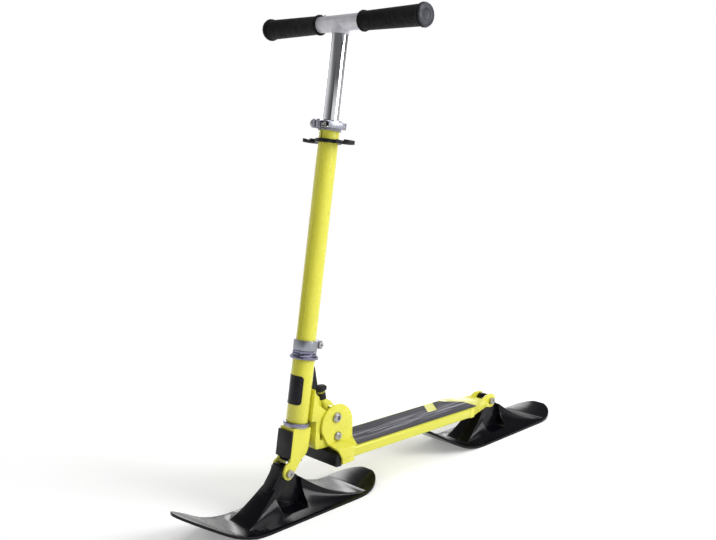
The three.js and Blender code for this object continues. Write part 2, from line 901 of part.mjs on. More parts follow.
function latchKnob() {
  const foot = barrelFoot + latch.barrelLength + latch.rise;
  const top = foot + latch.knobHeight;
  const edge = latch.knobEdge;
  const grasp = revolve(
    [
      [0, foot],
      [latch.knobRadius - edge * 2, foot],
      [latch.knobRadius, foot + edge],
      [latch.knobRadius, top - edge],
      [latch.knobRadius - edge, top],
      [0, top],
    ],
    fine,
  );
  const socket = rod(latch.rodRadius, foot - overrun, foot + latch.knobHeight / 2 + gap, coarse);
  return geometryOf(cut(solid(grasp), solid(socket)));
}

function coil(radius, wire, length, turns) {
  const points = [];
  const steps = turns * spring.steps;
  for (let i = 0; i <= steps; i += 1) {
    const turn = (2 * Math.PI * i) / spring.steps;
    points.push(new THREE.Vector3(radius * Math.cos(turn), radius * Math.sin(turn), (length * i) / steps));
  }
  const section = new THREE.Shape();
  section.absarc(0, 0, wire, 0, 2 * Math.PI);
  const path = new THREE.CatmullRomCurve3(points);
  return new THREE.ExtrudeGeometry(section, { steps, curveSegments: 3, extrudePath: path });
}

function latchSpring() {
  const foot = barrelFoot + latch.collarThick + spring.wire + gap;
  const length = latch.barrelLength - latch.capThick - latch.collarThick - 2 * (spring.wire + gap);
  const radius = (latch.rodRadius + latch.collarRadius) / 2;
  return coil(radius, spring.wire, length, spring.turns).translate(0, 0, foot);
}

add(steeringFrame, 'latch_plunger', alongLatch(latchPlunger()), zincSteel());
add(steeringFrame, 'latch_knob', alongLatch(latchKnob()), blackPlastic());
add(steeringFrame, 'latch_spring', alongLatch(latchSpring()), brushedSteel());

// Folding pivot and quick release, carried by the side plates

const plateOuter = upperInner + sidePlate.thick;

function pivotBush() {
  const outer = pivotBolt.radius + pivotBolt.bushWall;
  const half = upperInner - gap;
  return alongY(
    tube(outer, pivotBolt.radius + gap, -half, half, medium),
  ).translate(-fold.behind, 0, foldHeight);
}

function pivotBoltSolid() {
  const half = plateOuter + gap;
  const profile = [
    [0, -half - pivotBolt.nutThick - pivotBolt.tail],
    [pivotBolt.radius, -half - pivotBolt.nutThick - pivotBolt.tail],
    [pivotBolt.radius, half],
    [pivotBolt.headRadius, half],
    [pivotBolt.headRadius, half + pivotBolt.headThick / 2],
    [pivotBolt.headRadius - pivotBolt.bushWall, half + pivotBolt.headThick],
    [0, half + pivotBolt.headThick],
  ];
  return alongY(revolve(profile, medium)).translate(-fold.behind, 0, foldHeight);
}

function pivotNut() {
  const face = -plateOuter - gap;
  const nut = hexNut(pivotBolt.nutAcross, pivotBolt.radius + gap, face - pivotBolt.nutThick, face);
  return nut.translate([-fold.behind, 0, foldHeight]);
}

const camReach = cam.washer + gap + cam.radius;

function foldSkewer() {
  const pinAt = plateOuter + gap + camReach;
  const bar = alongY(rod(skewerRod.radius, -pinAt, plateOuter + gap + skewerRod.seatThick / 2));
  const pin = alongX(
    rod(cam.pinRadius, -foldLever.width / 2, foldLever.width / 2, coarse),
  ).translate(0, -pinAt, 0);
  return join(solid(bar), solid(pin)).translate([-skewerSeat.behind, 0, seatHeight]);
}

function domeNut(radius, boreRadius, thick) {
  const profile = [
    [boreRadius, 0],
    [radius, 0],
    [radius, thick / 2],
    [radius * Math.SQRT1_2, thick],
    [boreRadius, thick],
  ];
  return revolve(profile, medium);
}

function foldNut() {
  const nut = alongY(domeNut(skewerRod.seatRadius, skewerRod.radius + gap, skewerRod.seatThick));
  return nut.translate(-skewerSeat.behind, plateOuter + gap, seatHeight);
}

function foldWasher() {
  const ring = tube(
    skewerRod.seatRadius,
    skewerRod.radius + gap,
    -plateOuter - gap - cam.washer,
    -plateOuter - gap,
    medium,
  );
  return alongY(ring).translate(-skewerSeat.behind, 0, seatHeight);
}

function foldLeverSolid() {
  const pinAt = plateOuter + gap + camReach + gap;
  const half = foldLever.width / 2;
  const arm = new THREE.Shape();
  arm.moveTo(-cam.radius, 0);
  arm.absarc(0, 0, cam.radius, Math.PI, 2 * Math.PI);
  arm.quadraticCurveTo(
    cam.radius,
    foldLever.length / 3,
    -foldLever.thick / 2 + foldLever.tipThick,
    foldLever.length,
  );
  arm.lineTo(-foldLever.thick / 2, foldLever.length);
  arm.quadraticCurveTo(-foldLever.thick / 3, foldLever.length / 3, -cam.radius, 0);
  const body = fromSection(arm, -half, half, 8);
  const taper = fromSide(
    roundedShape(
      [
        [-half, -cam.radius - gap],
        [half, -cam.radius - gap],
        [foldLever.tipLead + foldLever.tipWidth / 2, foldLever.length],
        [foldLever.tipLead - foldLever.tipWidth / 2, foldLever.length],
      ],
      foldLever.tipWidth / 2,
    ),
    -cam.radius * 2,
    cam.radius * 2,
    4,
  );
  const slot = block(
    -cam.slotHalf,
    cam.slotHalf,
    -cam.radius * 2,
    cam.radius * 2,
    -cam.radius * 2,
    cam.radius + gap,
  );
  const hole = alongX(rod(cam.pinRadius + cam.pinSlack, -half - overrun, half + overrun, coarse));
  const lever = cut(solid(body).intersect(solid(taper)), solid(slot), solid(hole));
  return lever.translate([-skewerSeat.behind, -pinAt, seatHeight]);
}

add(scooter, 'pivot_bush', pivotBush(), brassRing());
add(scooter, 'pivot_bolt', pivotBoltSolid(), zincSteel());
add(scooter, 'pivot_nut', pivotNut(), zincSteel());
add(scooter, 'fold_skewer', foldSkewer(), zincSteel());
add(scooter, 'fold_skewer_nut', foldNut(), brushedSteel());
add(scooter, 'fold_washer', foldWasher(), brushedSteel());
add(scooter, 'fold_lever', foldLeverSolid(), darkLever());

// Side plates: bent sheet, close together at the knuckle and joggled out to the deck's rails

function sidePlateSolid() {
  const { thick, front, rear } = sidePlate;
  const bendTop = deckTop + sidePlate.bendTop;
  const bendBottom = deckTop + sidePlate.bendBottom;
  const bottom = deckTop - sidePlate.bottom;
  const crown = seatHeight - sidePlate.crownDrop;
  const crownRadius = (rear - front) / 2;
  const roof = crown + crownRadius;
  const profile = shapeOf([
    [lowerInner, bottom],
    [lowerInner + thick, bottom],
    [lowerInner + thick, bendBottom],
    [upperInner + thick, bendTop],
    [upperInner + thick, roof],
    [upperInner, roof],
    [upperInner, bendTop - thick],
    [lowerInner, bendBottom - thick],
  ]);
  const outline = new THREE.Shape();
  outline.moveTo(-rear, bendTop);
  outline.lineTo(-sidePlate.lowerRear, bendBottom - thick);
  outline.lineTo(-sidePlate.lowerRear, bottom);
  outline.lineTo(-sidePlate.lowerFront, bottom);
  outline.lineTo(-sidePlate.lowerFront, deckTop - sidePlate.slantBottom);
  outline.lineTo(-front, deckTop + sidePlate.slantTop);
  outline.lineTo(-front, crown);
  outline.absarc(-(front + rear) / 2, crown, crownRadius, 0, Math.PI);
  const sheet = solid(fromSection(profile, -rear - overrun, -front + overrun));
  const trimmed = sheet.intersect(
    solid(fromSide(outline, upperInner - overrun, lowerInner + thick + overrun, 10)),
  );
  const pivotHole = alongY(
    rod(pivotBolt.radius + gap, 0, lowerInner, medium),
  ).translate(-fold.behind, 0, foldHeight);
  const seatHole = alongY(
    rod(skewerRod.radius + gap, 0, lowerInner),
  ).translate(-skewerSeat.behind, 0, seatHeight);
  return cut(trimmed, solid(pivotHole), solid(seatHole));
}

const leftPlate = geometryOf(sidePlateSolid());
add(scooter, 'side_plate_left', leftPlate, yellowPaint());
add(scooter, 'side_plate_right', mirrored(leftPlate), yellowPaint());

// Deck extrusion with its rails, ribs and inward lips

function deckSolid() {
  const { halfWidth: w, thick: t, skin, rail, lip, rib, ribOffset, ribDepth } = deck;
  const outer = roundedShape([[-w, -t], [w, -t], [w, 0], [-w, 0]], deck.edgeRound);
  const channel = (y0, y1, z0) => shapeOf([[y0, z0], [y1, z0], [y1, -skin], [y0, -skin]]);
  const from = -deck.length;
  const shell = solid(fromSection(outer, from, 0, 4));
  const open = solid(fromSection(channel(-w + rail, w - rail, -t + skin), from - overrun, overrun));
  const mouth = solid(
    fromSection(channel(-w + rail + lip, w - rail - lip, -t - overrun), from - overrun, overrun),
  );
  const ribs = [-ribOffset, ribOffset].map((y) =>
    solid(fromSection(channel(y - rib / 2, y + rib / 2, -skin - ribDepth), from, 0)),
  );
  const sunk = ribs.map((one) => one.translate([0, 0, skin / 2]));
  return join(cut(shell, open, mouth), ...sunk);
}

add(deckFrame, 'deck', deckSolid(), yellowPaint());

function tapeSolid() {
  const half = deck.halfWidth - tape.inset;
  const { front } = tape;
  const rear = deck.length + tape.beyondDeck;
  const notchRear = rear - tape.notchFromRear;
  const notchFront = notchRear - tape.notchLength;
  const outline = roundedShape(
    [
      [-rear, half],
      [-front, half],
      [-front, -half],
      [-notchFront, -half],
      [-notchFront, 0],
      [-notchRear, 0],
      [-notchRear, -half],
      [-rear + half, -half],
      [-rear, 0],
    ].reverse(),
    tape.round / 2,
  );
  return fromPlan(outline, gap / 2, gap / 2 + tape.thick, 3);
}

add(deckFrame, 'grip_tape', tapeSolid(), gripTape());

// Nose cap: a moulded bumper that plugs into the front of the deck

function noseSolid() {
  const { reach, height, drop, round, wall, tongue } = nose;
  const w = deck.halfWidth - nose.inset;
  const bottom = -deck.thick - drop + wall;
  const top = bottom + height;
  const side = roundedShape([[gap, bottom], [reach, bottom], [reach - wall, top], [gap, top]], round / 2);
  const plan = roundedShape([[gap, -w], [reach, -w], [reach, w], [gap, w]], round);
  const body = solid(fromSide(side, -w, w, 4)).intersect(
    solid(fromPlan(plan, bottom - overrun, top + overrun, 5)),
  );
  const plug = block(
    -tongue,
    reach / 2,
    -deck.ribOffset + deck.rib,
    deck.ribOffset - deck.rib,
    -deck.thick + gap,
    -deck.skin - gap,
  );
  const hollow = block(-overrun, reach - wall, -w + wall, w - wall, bottom - overrun, -deck.thick - wall);
  return join(cut(body, solid(hollow)), solid(plug));
}

add(deckFrame, 'nose_cap', noseSolid(), blackPlastic());

// Rear fork: tapers from the deck to two arms that hold the rear ski

function rearForkSolid() {
  const start = -deck.length - gap;
  const end = rearAxleAt.x;
  const taperEnd = start - rearFork.taperEnd;
  const w = deck.halfWidth;
  const plan = roundedShape(
    [
      [start, -w],
      [start, w],
      [taperEnd, bladeOuter],
      [end - rearFork.endRadius, bladeOuter],
      [end - rearFork.endRadius, -bladeOuter],
      [taperEnd, -bladeOuter],
    ],
    rearFork.round,
  );
  const squareFront = block(start - rearFork.lap / 2, start, -w, w, -deck.thick, 0);
  const plate = join(solid(fromPlan(plan, -deck.thick, 0, 4)), solid(squareFront));
  const arm = new THREE.Shape();
  arm.moveTo(taperEnd + rearFork.endRadius, 0);
  arm.lineTo(taperEnd + rearFork.endRadius, -deck.thick);
  arm.lineTo(taperEnd, -deck.thick);
  arm.lineTo(end, rearAxleAt.z - rearFork.endRadius);
  arm.absarc(end, rearAxleAt.z, rearFork.endRadius, 1.5 * Math.PI, Math.PI / 2, true);
  arm.lineTo(end + rearFork.endRadius, rearAxleAt.z + rearFork.endRadius);
  const arms = solid(fromSide(arm, -bladeOuter, bladeOuter, 8));
  const keep = solid(
    fromSide(
      (() => {
        const band = new THREE.Shape();
        band.moveTo(start + overrun, -deck.thick - overrun);
        band.lineTo(start + overrun, overrun * 2);
        band.lineTo(end, rearAxleAt.z + rearFork.endRadius);
        band.absarc(end, rearAxleAt.z, rearFork.endRadius, Math.PI / 2, 1.5 * Math.PI);
        return band;
      })(),
      -w - overrun,
      w + overrun,
      8,
    ),
  );
  const slotFront = start - rearFork.slotStart;
  const slot = block(
    end - rearFork.endRadius - overrun,
    slotFront,
    -blade.innerHalf,
    blade.innerHalf,
    -ski.halfWidth,
    ski.halfWidth,
  );
  const under = w - deck.rail - deck.lip / 2;
  const hollow = fromPlan(
    shapeOf([
      [start + overrun, -under],
      [start + overrun, under],
      [taperEnd + rearFork.endRadius, blade.innerHalf],
      [taperEnd + rearFork.endRadius, -blade.innerHalf],
    ]),
    -deck.thick - overrun,
    -deck.skin,
  );
  const axleHole = alongY(
    rod(axleBolt.radius + gap, -bladeOuter - overrun, bladeOuter + overrun),
  ).translate(end, 0, rearAxleAt.z);
  const tieOuter = w - deck.rail - gap;
  const tieInner = tieOuter - rearFork.round * 2;
  const tie = block(
    start - rearFork.lap / 2,
    start + rearFork.lap,
    tieInner,
    tieOuter,
    -deck.thick + deck.skin + gap,
    -deck.skin - gap,
  );
  const body = cut(join(plate, arms).intersect(keep), solid(slot), solid(hollow), solid(axleHole));
  return join(body, solid(tie), solid(mirrored(tie)));
}

add(deckFrame, 'rear_fork', rearForkSolid(), yellowPaint());

// Headset: two cups, two ball rings, a race on the fork, an adjusting race and a lock nut

const cupOuter = headTubeInner - gap;
const lowerFace = tubeFoot - gap;
const upperFace = tubeTop + gap;

// A cup seen as if its bowl opened upwards: its skirt fits the head tube and its bowl holds the balls.
function cupProfile(radius) {
  const skirtInner = cupOuter - headset.wall;
  const bowlInner = radius - headset.wall;
  return [
    [skirtInner, -headset.skirt],
    [cupOuter, -headset.skirt],
    [cupOuter, 0],
    [radius - headset.wall / 2, 0],
    [radius, headset.wall / 2],
    [radius, headset.bowl],
    [bowlInner, headset.bowl],
    [bowlInner, headset.floor],
    [skirtInner, headset.floor],
  ];
}

const lowerCup = () => revolve(cupProfile(lowerRadius).map(([r, z]) => [r, lowerFace - z]), fine);
const upperCup = () => revolve(cupProfile(upperRadius).map(([r, z]) => [r, upperFace + z]), fine);
const ballOffset = headset.floor + gap + bearing.ballRadius;
const lowerBallHeight = lowerFace - ballOffset;
const upperBallHeight = upperFace + ballOffset;

function ballRing(height) {
  const { ballRadius, cage } = bearing;
  const band = tube(
    ballCircle + cage,
    ballCircle - cage,
    height - ballRadius / 2,
    height + ballRadius / 2,
    medium,
  );
  const balls = [];
  for (let i = 0; i < bearing.count; i += 1) {
    const turn = (2 * Math.PI * i) / bearing.count;
    const ball = new THREE.SphereGeometry(ballRadius, hex, hex / 2);
    balls.push(solid(ball.translate(ballCircle * Math.cos(turn), ballCircle * Math.sin(turn), height)));
  }
  return join(solid(band), ...balls);
}

function crownRace() {
  const foot = forkTop.height + gap;
  const top = lowerBallHeight - bearing.ballRadius - gap;
  const inner = steererOuter + gap;
  return tube(lowerRadius - headset.wall - gap * 2, inner, foot, top, fine);
}

function adjustingRace() {
  const inner = steererOuter + gap;
  const bowlInner = upperRadius - headset.wall - gap * 2;
  const seat = upperBallHeight + bearing.ballRadius + gap;
  return revolve(
    [
      [inner, seat],
      [bowlInner, seat],
      [bowlInner, raceFoot],
      [headTubeOuter + headset.raceRim, raceFoot + headset.wall],
      [headTubeOuter + headset.raceRim, raceFoot + headset.raceThick],
      [inner, raceFoot + headset.raceThick],
    ],
    fine,
  );
}

function lockNut() {
  const corner = cornerRadius(steererOuter + headset.nutWall, hex);
  const top = nutFoot + headset.nutThick;
  const bore = rod(steererOuter + gap, nutFoot - overrun, top + overrun, fine);
  return cut(solid(rod(corner, nutFoot, top, hex)), solid(bore));
}

add(steeringFrame, 'lower_cup', lowerCup(), brushedSteel());
add(steeringFrame, 'upper_cup', upperCup(), brushedSteel());
add(steeringFrame, 'lower_ball_ring', ballRing(lowerBallHeight), zincSteel());
add(steeringFrame, 'upper_ball_ring', ballRing(upperBallHeight), zincSteel());
add(steeringFrame, 'crown_race', crownRace(), zincSteel());
add(steeringFrame, 'adjusting_race', adjustingRace(), zincSteel());
add(steeringFrame, 'lock_nut', lockNut(), zincSteel());

// Outer column with its slit, and the two collars that clamp it

function columnSolid() {
  const pipe = tube(column.outer, columnInner, columnFoot, columnTop, fine);
  const slit = block(
    0,
    column.outer + overrun,
    -column.slitWidth / 2,
    column.slitWidth / 2,
    columnTop - column.slitLength,
    columnTop + overrun,
  );
  return cut(solid(pipe), solid(slit));
}

add(steeringFrame, 'outer_column', columnSolid(), yellowPaint());

function collarSolid(size, foot, direction, boreOuter, boreInner, shoulder) {
  const top = foot + size.height;
  const outer = column.outer + size.wall;
  const reach = outer + size.earLength;
  const ring = rod(outer, foot, top, fine);
  const [x0, x1] = direction > 0 ? [0, reach] : [-reach, 0];
  const ears = fromPlan(
    roundedShape(
      [[x0, -size.earHalf], [x1, -size.earHalf], [x1, size.earHalf], [x0, size.earHalf]],
      size.slit * 2,
    ),
    foot + size.slit,
    top - size.slit,
    3,
  );
  const slit = block(
    Math.min(0, x0 - overrun),
    Math.max(0, x1 + overrun),
    -size.slit,
    size.slit,
    foot - overrun,
    top + overrun,
  );
  const bore = rod(boreOuter, foot - overrun, shoulder, fine);
  const neck = rod(boreInner, foot - overrun, top + overrun, fine);
  return cut(join(solid(ring), solid(ears)), solid(slit), solid(bore), solid(neck));
}

function lowerCollar() {
  const top = columnFoot + collar.height + overrun;
  const body = collarSolid(collar, columnFoot, -1, column.outer + gap, column.outer + gap, top);
  return cut(body, solid(boltHole(collar.boltRadius, collar.earHalf, collarBoltX, collarMiddle)));
}

function boltHole(radius, half, x, z) {
  return alongY(rod(radius + gap, -half - overrun, half + overrun)).translate(x, 0, z);
}

const collarBoltX = -(column.outer + collar.wall + collar.earLength / 2);
const collarMiddle = columnFoot + collar.height / 2;

function collarBolt() {
  const face = collar.earHalf + gap;
  const headRadius = collar.boltHeadRadius;
  const profile = [
    [0, -face - collar.boltHeadThick],
    [headRadius, -face - collar.boltHeadThick],
    [headRadius, -face],
    [collar.boltRadius, -face],
    [collar.boltRadius, face],
    [headRadius, face],
    [headRadius, face + collar.boltHeadThick],
    [0, face + collar.boltHeadThick],
  ];
  return alongY(revolve(profile, coarse)).translate(collarBoltX, 0, collarMiddle);
}

function topCollarSolid() {
  const shoulder = columnTop + gap;
  const body = collarSolid(
    topCollar,
    topCollarFoot,
    1,
    column.outer + gap,
    tbarOuter + runningClearance,
    shoulder,
  );
  return cut(body, solid(boltHole(skewerRod.radius, topCollar.earHalf, skewerReach, topCollarMiddle)));
}

const topCollarMiddle = topCollarFoot + topCollar.height / 2;
const topPinY = topCollar.earHalf + gap + cam.radius;

function topSkewer() {
  const bar = alongY(rod(skewerRod.radius, -topCollar.earHalf - skewerRod.seatThick, topPinY));
  const pin = rod(cam.pinRadius, -topLever.thick / 2, topLever.thick / 2, coarse).translate(0, topPinY, 0);
  return join(solid(bar), solid(pin)).translate([skewerReach, 0, topCollarMiddle]);
}

function topSkewerNut() {
  const nut = alongY(
    domeNut(skewerRod.seatRadius - cam.washer, skewerRod.radius + gap, skewerRod.seatThick + cam.washer),
  );
  return mirrored(nut.translate(skewerReach, topCollar.earHalf + gap, topCollarMiddle));
}

function topLeverSolid() {
  const pin = new THREE.Vector2(skewerReach, topPinY + gap);
  const start = Math.atan2(pin.y, pin.x);
  const end = start + radians(topLever.sweepDegrees);
  const inner = topCollarOuter + topLever.clearance;
  const outer = inner + topLever.wall;
  const arm = new THREE.Shape();
  arm.absarc(pin.x, pin.y, cam.radius, -Math.PI / 2, Math.PI / 2);
  arm.quadraticCurveTo(
    (outer + cam.radius) * Math.cos((start + end) / 2),
    (outer + cam.radius) * Math.sin((start + end) / 2),
    (outer + topLever.tipFlare) * Math.cos(end),
    (outer + topLever.tipFlare) * Math.sin(end),
  );
  arm.lineTo((inner + topLever.tipFlare) * Math.cos(end), (inner + topLever.tipFlare) * Math.sin(end));
  arm.absarc(
    0,
    0,
    inner,
    end - radians(topLever.sweepDegrees) / 3,
    start + radians(topLever.sweepDegrees) / 6,
    true,
  );
  const half = topLever.thick / 2;
  const body = fromPlan(arm, -half, half, 10);
  const slot = fromPlan(
    (() => {
      const round = new THREE.Shape();
      round.absarc(pin.x, pin.y, cam.radius + gap, 0, 2 * Math.PI);
      return round;
    })(),
    -cam.slotHalf + gap,
    cam.slotHalf - gap,
    6,
  );
  const hole = rod(
    cam.pinRadius + cam.pinSlack,
    -half - overrun,
    half + overrun,
    coarse,
  ).translate(pin.x, pin.y, 0);
  return cut(solid(body), solid(slot), solid(hole)).translate([0, 0, topCollarMiddle]);
}

add(steeringFrame, 'lower_collar', lowerCollar(), brushedSteel());
add(steeringFrame, 'lower_collar_bolt', collarBolt(), zincSteel());
add(steeringFrame, 'top_collar', topCollarSolid(), brushedSteel());
add(steeringFrame, 'top_skewer', topSkewer(), zincSteel());
add(steeringFrame, 'top_skewer_nut', topSkewerNut(), brushedSteel());
add(steeringFrame, 'top_lever', topLeverSolid(), brushedSteel());

// Clip on the column that holds the two handles when they are taken out

function clipSolid() {
  const bodyPlan = new THREE.Shape();
  bodyPlan.absarc(0, 0, column.outer + clip.ringWall, 0, 2 * Math.PI);
  const [z0, z1] = [clipFoot, clipFoot + clip.thick];
  const ring = solid(fromPlan(bodyPlan, z0, z1, 12));
  const arm = solid(block(-clip.armHalf, clip.armHalf, -hookReach, hookReach, z0, z1));
  const hooks = [-1, 1].map((side) => solid(
    rod(hookInner + clip.hookWall, z0, z1, medium).translate(0, side * hookReach, 0),
  ));
  const bores = [-1, 1].map((side) =>
    solid(rod(hookInner, z0 - overrun, z1 + overrun, medium).translate(0, side * hookReach, 0)),
  );
  const mouths = [-1, 1].map((side) => {
    const y = side * hookReach;
    return solid(block(
      0,
      hookInner + clip.hookWall + overrun,
      y - clip.mouth,
      y + clip.mouth,
      z0 - overrun,
      z1 + overrun,
    ));
  });
  const bore = solid(rod(column.outer + gap, z0 - overrun, z1 + overrun, fine));
  return cut(join(ring, arm, ...hooks), bore, ...bores, ...mouths);
}

add(steeringFrame, 'handle_clip', clipSolid(), blackPlastic());

// T-bar that slides in the column, with its head, handles, grips and spring buttons

function tbarTube() {
  const top = tbarAxis - tHead.collarHeight;
  return tube(tbarOuter, tbarInner, tbarFoot, top, fine);
}

function tbarBush() {
  const plug = tbarInner - gap;
  const shoulder = tbarFoot - gap;
  const half = tbar.bushLength / 2;
  return revolve(
    [
      [plug - tHead.spigotWall, shoulder - half],
      [tbarOuter, shoulder - half],
      [tbarOuter, shoulder],
      [plug, shoulder],
      [plug, shoulder + half],
      [plug - tHead.spigotWall, shoulder + half],
    ],
    fine,
  );
}

function headSolid() {
  const bar = alongY(rod(tHeadOuter, -tHead.halfLength, tHead.halfLength, fine)).translate(0, 0, tbarAxis);
  const skirt = tbarAxis - tHead.collarHeight + gap;
  const socket = rod(tbarOuter + tHead.collarStep, skirt, tbarAxis, fine);
  const spigot = rod(tbarInner - gap, skirt - tHead.spigotLength, tbarAxis, medium);
  const hollow = rod(
    tbarInner - gap - tHead.spigotWall,
    skirt - tHead.spigotLength - overrun,
    tbarAxis,
    medium,
  );
  const bore = alongY(
    rod(sleeveOnHandle, -tHead.halfLength - overrun, tHead.halfLength + overrun, medium),
  ).translate(0, 0, tbarAxis);
  const windows = [-1, 1].map((side) =>
    solid(rod(
      button.radius + gap,
      tbarAxis,
      tbarAxis + tHeadOuter + overrun,
    ).translate(0, side * button.reach, 0)),
  );
  return cut(join(solid(bar), solid(socket), solid(spigot)), solid(hollow), solid(bore), ...windows);
}

const gripStart = tHead.halfLength + gap;
const gripEnd = gripStart + grip.length;

function handleTube(side) {
  const pipe = alongY(tube(handle.outer, handleInner, handle.inset, gripEnd, medium));
  const window = rod(button.radius + gap, 0, handle.outer + overrun).translate(0, button.reach, 0);
  const shape = geometryOf(cut(solid(pipe), solid(window)));
  return (side > 0 ? shape : mirrored(shape)).translate(0, 0, tbarAxis);
}

function gripSolid(side) {
  const [start, end] = [gripStart, gripEnd];
  const profile = [
    [sleeveOnHandle, start],
    [grip.innerFlange - grip.edge, start],
    [grip.innerFlange, start + grip.edge],
    [grip.innerFlange, start + grip.flangeThick],
    [grip.innerEnd, start + grip.flangeThick + grip.edge],
    [grip.outerEnd, end - grip.flangeThick - grip.edge * 2],
    [grip.outerFlange, end - grip.flangeThick],
    [grip.outerFlange, end],
    [sleeveOnHandle, end],
  ];
  const shape = alongY(revolve(profile, medium));
  return (side > 0 ? shape : mirrored(shape)).translate(0, 0, tbarAxis);
}

function capSolid(side) {
  const face = gripEnd + gap;
  const plug = handleInner - gap;
  const shape = alongY(
    revolve(
      [
        [0, face - endCap.plugLength],
        [plug, face - endCap.plugLength],
        [plug, face],
        [endCap.radius, face],
        [endCap.radius - endCap.thick / 3, face + endCap.thick],
        [endCap.dimpleRadius, face + endCap.thick],
        [endCap.dimpleRadius - endCap.dimpleDepth, face + endCap.thick - endCap.dimpleDepth],
        [0, face + endCap.thick - endCap.dimpleDepth],
      ],
      medium,
    ),
  );
  return (side > 0 ? shape : mirrored(shape)).translate(0, 0, tbarAxis);
}

const buttonFoot = Math.sqrt(handleInner ** 2 - button.footRadius ** 2) - gap - button.footThick;

function buttonSolid(side) {
  const foot = buttonFoot;
  const top = tHeadOuter + button.stand;
  const shape = revolve(
    [
      [0, foot],
      [button.footRadius, foot],
      [button.footRadius, foot + button.footThick],
      [button.radius, foot + button.footThick],
      [button.radius, top - button.radius / 2],
      [button.radius / 2, top],
      [0, top],
    ],
    coarse,
  );
  return shape.translate(0, side * button.reach, tbarAxis);
}

function leafSolid(side) {
  const top = buttonFoot - gap;
  const low = -handleInner + leaf.thick * 3;
  const half = leaf.length / 2;
  const bend = shapeOf([
    [-half, low],
    [half, low],
    [half, low + leaf.thick],
    [-half + leaf.thick * 2, low + leaf.thick],
    [half / 2, top - leaf.thick],
    [half, top - leaf.thick],
    [half, top],
    [half / 2 - leaf.thick, top],
    [-half, low + leaf.thick * 2],
  ]);
  const strip = fromSection(bend, -leaf.width / 2, leaf.width / 2);
  return (side > 0 ? strip : mirrored(strip)).translate(0, side * (button.reach - half / 2), tbarAxis);
}

add(steeringFrame, 'tbar_tube', tbarTube(), chrome());
add(steeringFrame, 'tbar_bush', tbarBush(), blackPlastic());
add(steeringFrame, 'tbar_head', headSolid(), brushedSteel());
for (const [name, side] of [['left', 1], ['right', -1]]) {
  add(steeringFrame, `handle_tube_${name}`, handleTube(side), chrome());
  add(steeringFrame, `grip_${name}`, gripSolid(side), blackRubber());
  add(steeringFrame, `end_cap_${name}`, capSolid(side), blackPlastic());
  add(steeringFrame, `spring_button_${name}`, buttonSolid(side), zincSteel());
  add(steeringFrame, `button_leaf_${name}`, leafSolid(side), brushedSteel());
}

// The origin lies on the ground in the middle of the scooter

const middle = new THREE.Box3().setFromObject(scooter).getCenter(new THREE.Vector3());
scooter.position.x = -middle.x;
scooter.updateMatrixWorld(true);

export default scooter;
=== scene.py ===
# Snow scooter: finishes, trim, floor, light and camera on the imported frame. Metres, +X forward, +Z up.

import json
import math

import bpy
from bpy.props import FloatProperty, FloatVectorProperty, PointerProperty
from mathutils import Matrix, Vector


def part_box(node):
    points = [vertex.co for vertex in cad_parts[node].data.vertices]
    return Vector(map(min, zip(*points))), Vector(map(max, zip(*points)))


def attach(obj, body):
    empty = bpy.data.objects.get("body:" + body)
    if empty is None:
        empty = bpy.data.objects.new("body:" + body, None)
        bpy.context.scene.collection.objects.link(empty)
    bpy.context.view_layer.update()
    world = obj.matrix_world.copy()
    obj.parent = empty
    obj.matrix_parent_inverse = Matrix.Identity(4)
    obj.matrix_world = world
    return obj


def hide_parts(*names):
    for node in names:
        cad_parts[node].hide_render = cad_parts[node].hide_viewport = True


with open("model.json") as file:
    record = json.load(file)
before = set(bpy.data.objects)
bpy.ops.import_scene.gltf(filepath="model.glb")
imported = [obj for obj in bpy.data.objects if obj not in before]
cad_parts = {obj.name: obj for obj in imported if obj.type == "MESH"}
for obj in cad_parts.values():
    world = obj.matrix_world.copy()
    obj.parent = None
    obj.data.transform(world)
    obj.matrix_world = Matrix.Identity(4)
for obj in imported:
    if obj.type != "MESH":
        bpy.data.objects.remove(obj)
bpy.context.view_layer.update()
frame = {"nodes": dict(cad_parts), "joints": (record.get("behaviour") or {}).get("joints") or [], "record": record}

bl_info = {
    "name": "Snow Scooter Dressing",
    "version": (1, 0, 0),
    "blender": (4, 5, 0),
    "location": "View3D > Sidebar > Scooter",
    "description": "Finishes and trim for a folding scooter on two skis, with its studio",
    "category": "Object",
}

NODES = frame["nodes"]
BODIES = frame["record"]["behaviour"]["bodies"]
BODY_OF = {node: body for body, members in BODIES.items() for node in members}
JOINTS = {joint["name"]: joint for joint in frame["joints"]}


# Numbers that aren't meant to be changed, in metres, degrees and watts unless a name says otherwise

# The camera that the photograph was fitted with
CAMERA_AT = (1.1971, 1.1083, 0.6636)
CAMERA_YAW = 225.124
CAMERA_PITCH = -9.769
CAMERA_ROLL_RADIANS = -0.001
CAMERA_LENS_MM = 45.35
CAMERA_SENSOR_MM = 36
CAMERA_CLIP = (0.05, 60)

# Softboxes: name, place, what it faces, width, height, watts, and whether mirror rays see it
LAMPS = (
    ("key_softbox", (-1.3, 2.6, 1.7), (0, 0, 0.35), 1.5, 1.9, 78, True),
    ("front_softbox", (2.6, 1.4, 1.6), (0, 0, 0.3), 1.4, 1.4, 8, False),
    ("back_softbox", (-1.9, -2.4, 0.95), (0, 0, 0.1), 1.7, 0.9, 16, True),
    ("right_softbox", (-0.2, -2.8, 1.2), (0, 0, 0.4), 1.5, 1.7, 26, False),
    ("top_softbox", (-0.2, 0.4, 2.8), (0, 0, 0), 2.2, 2.2, 26, True),
)

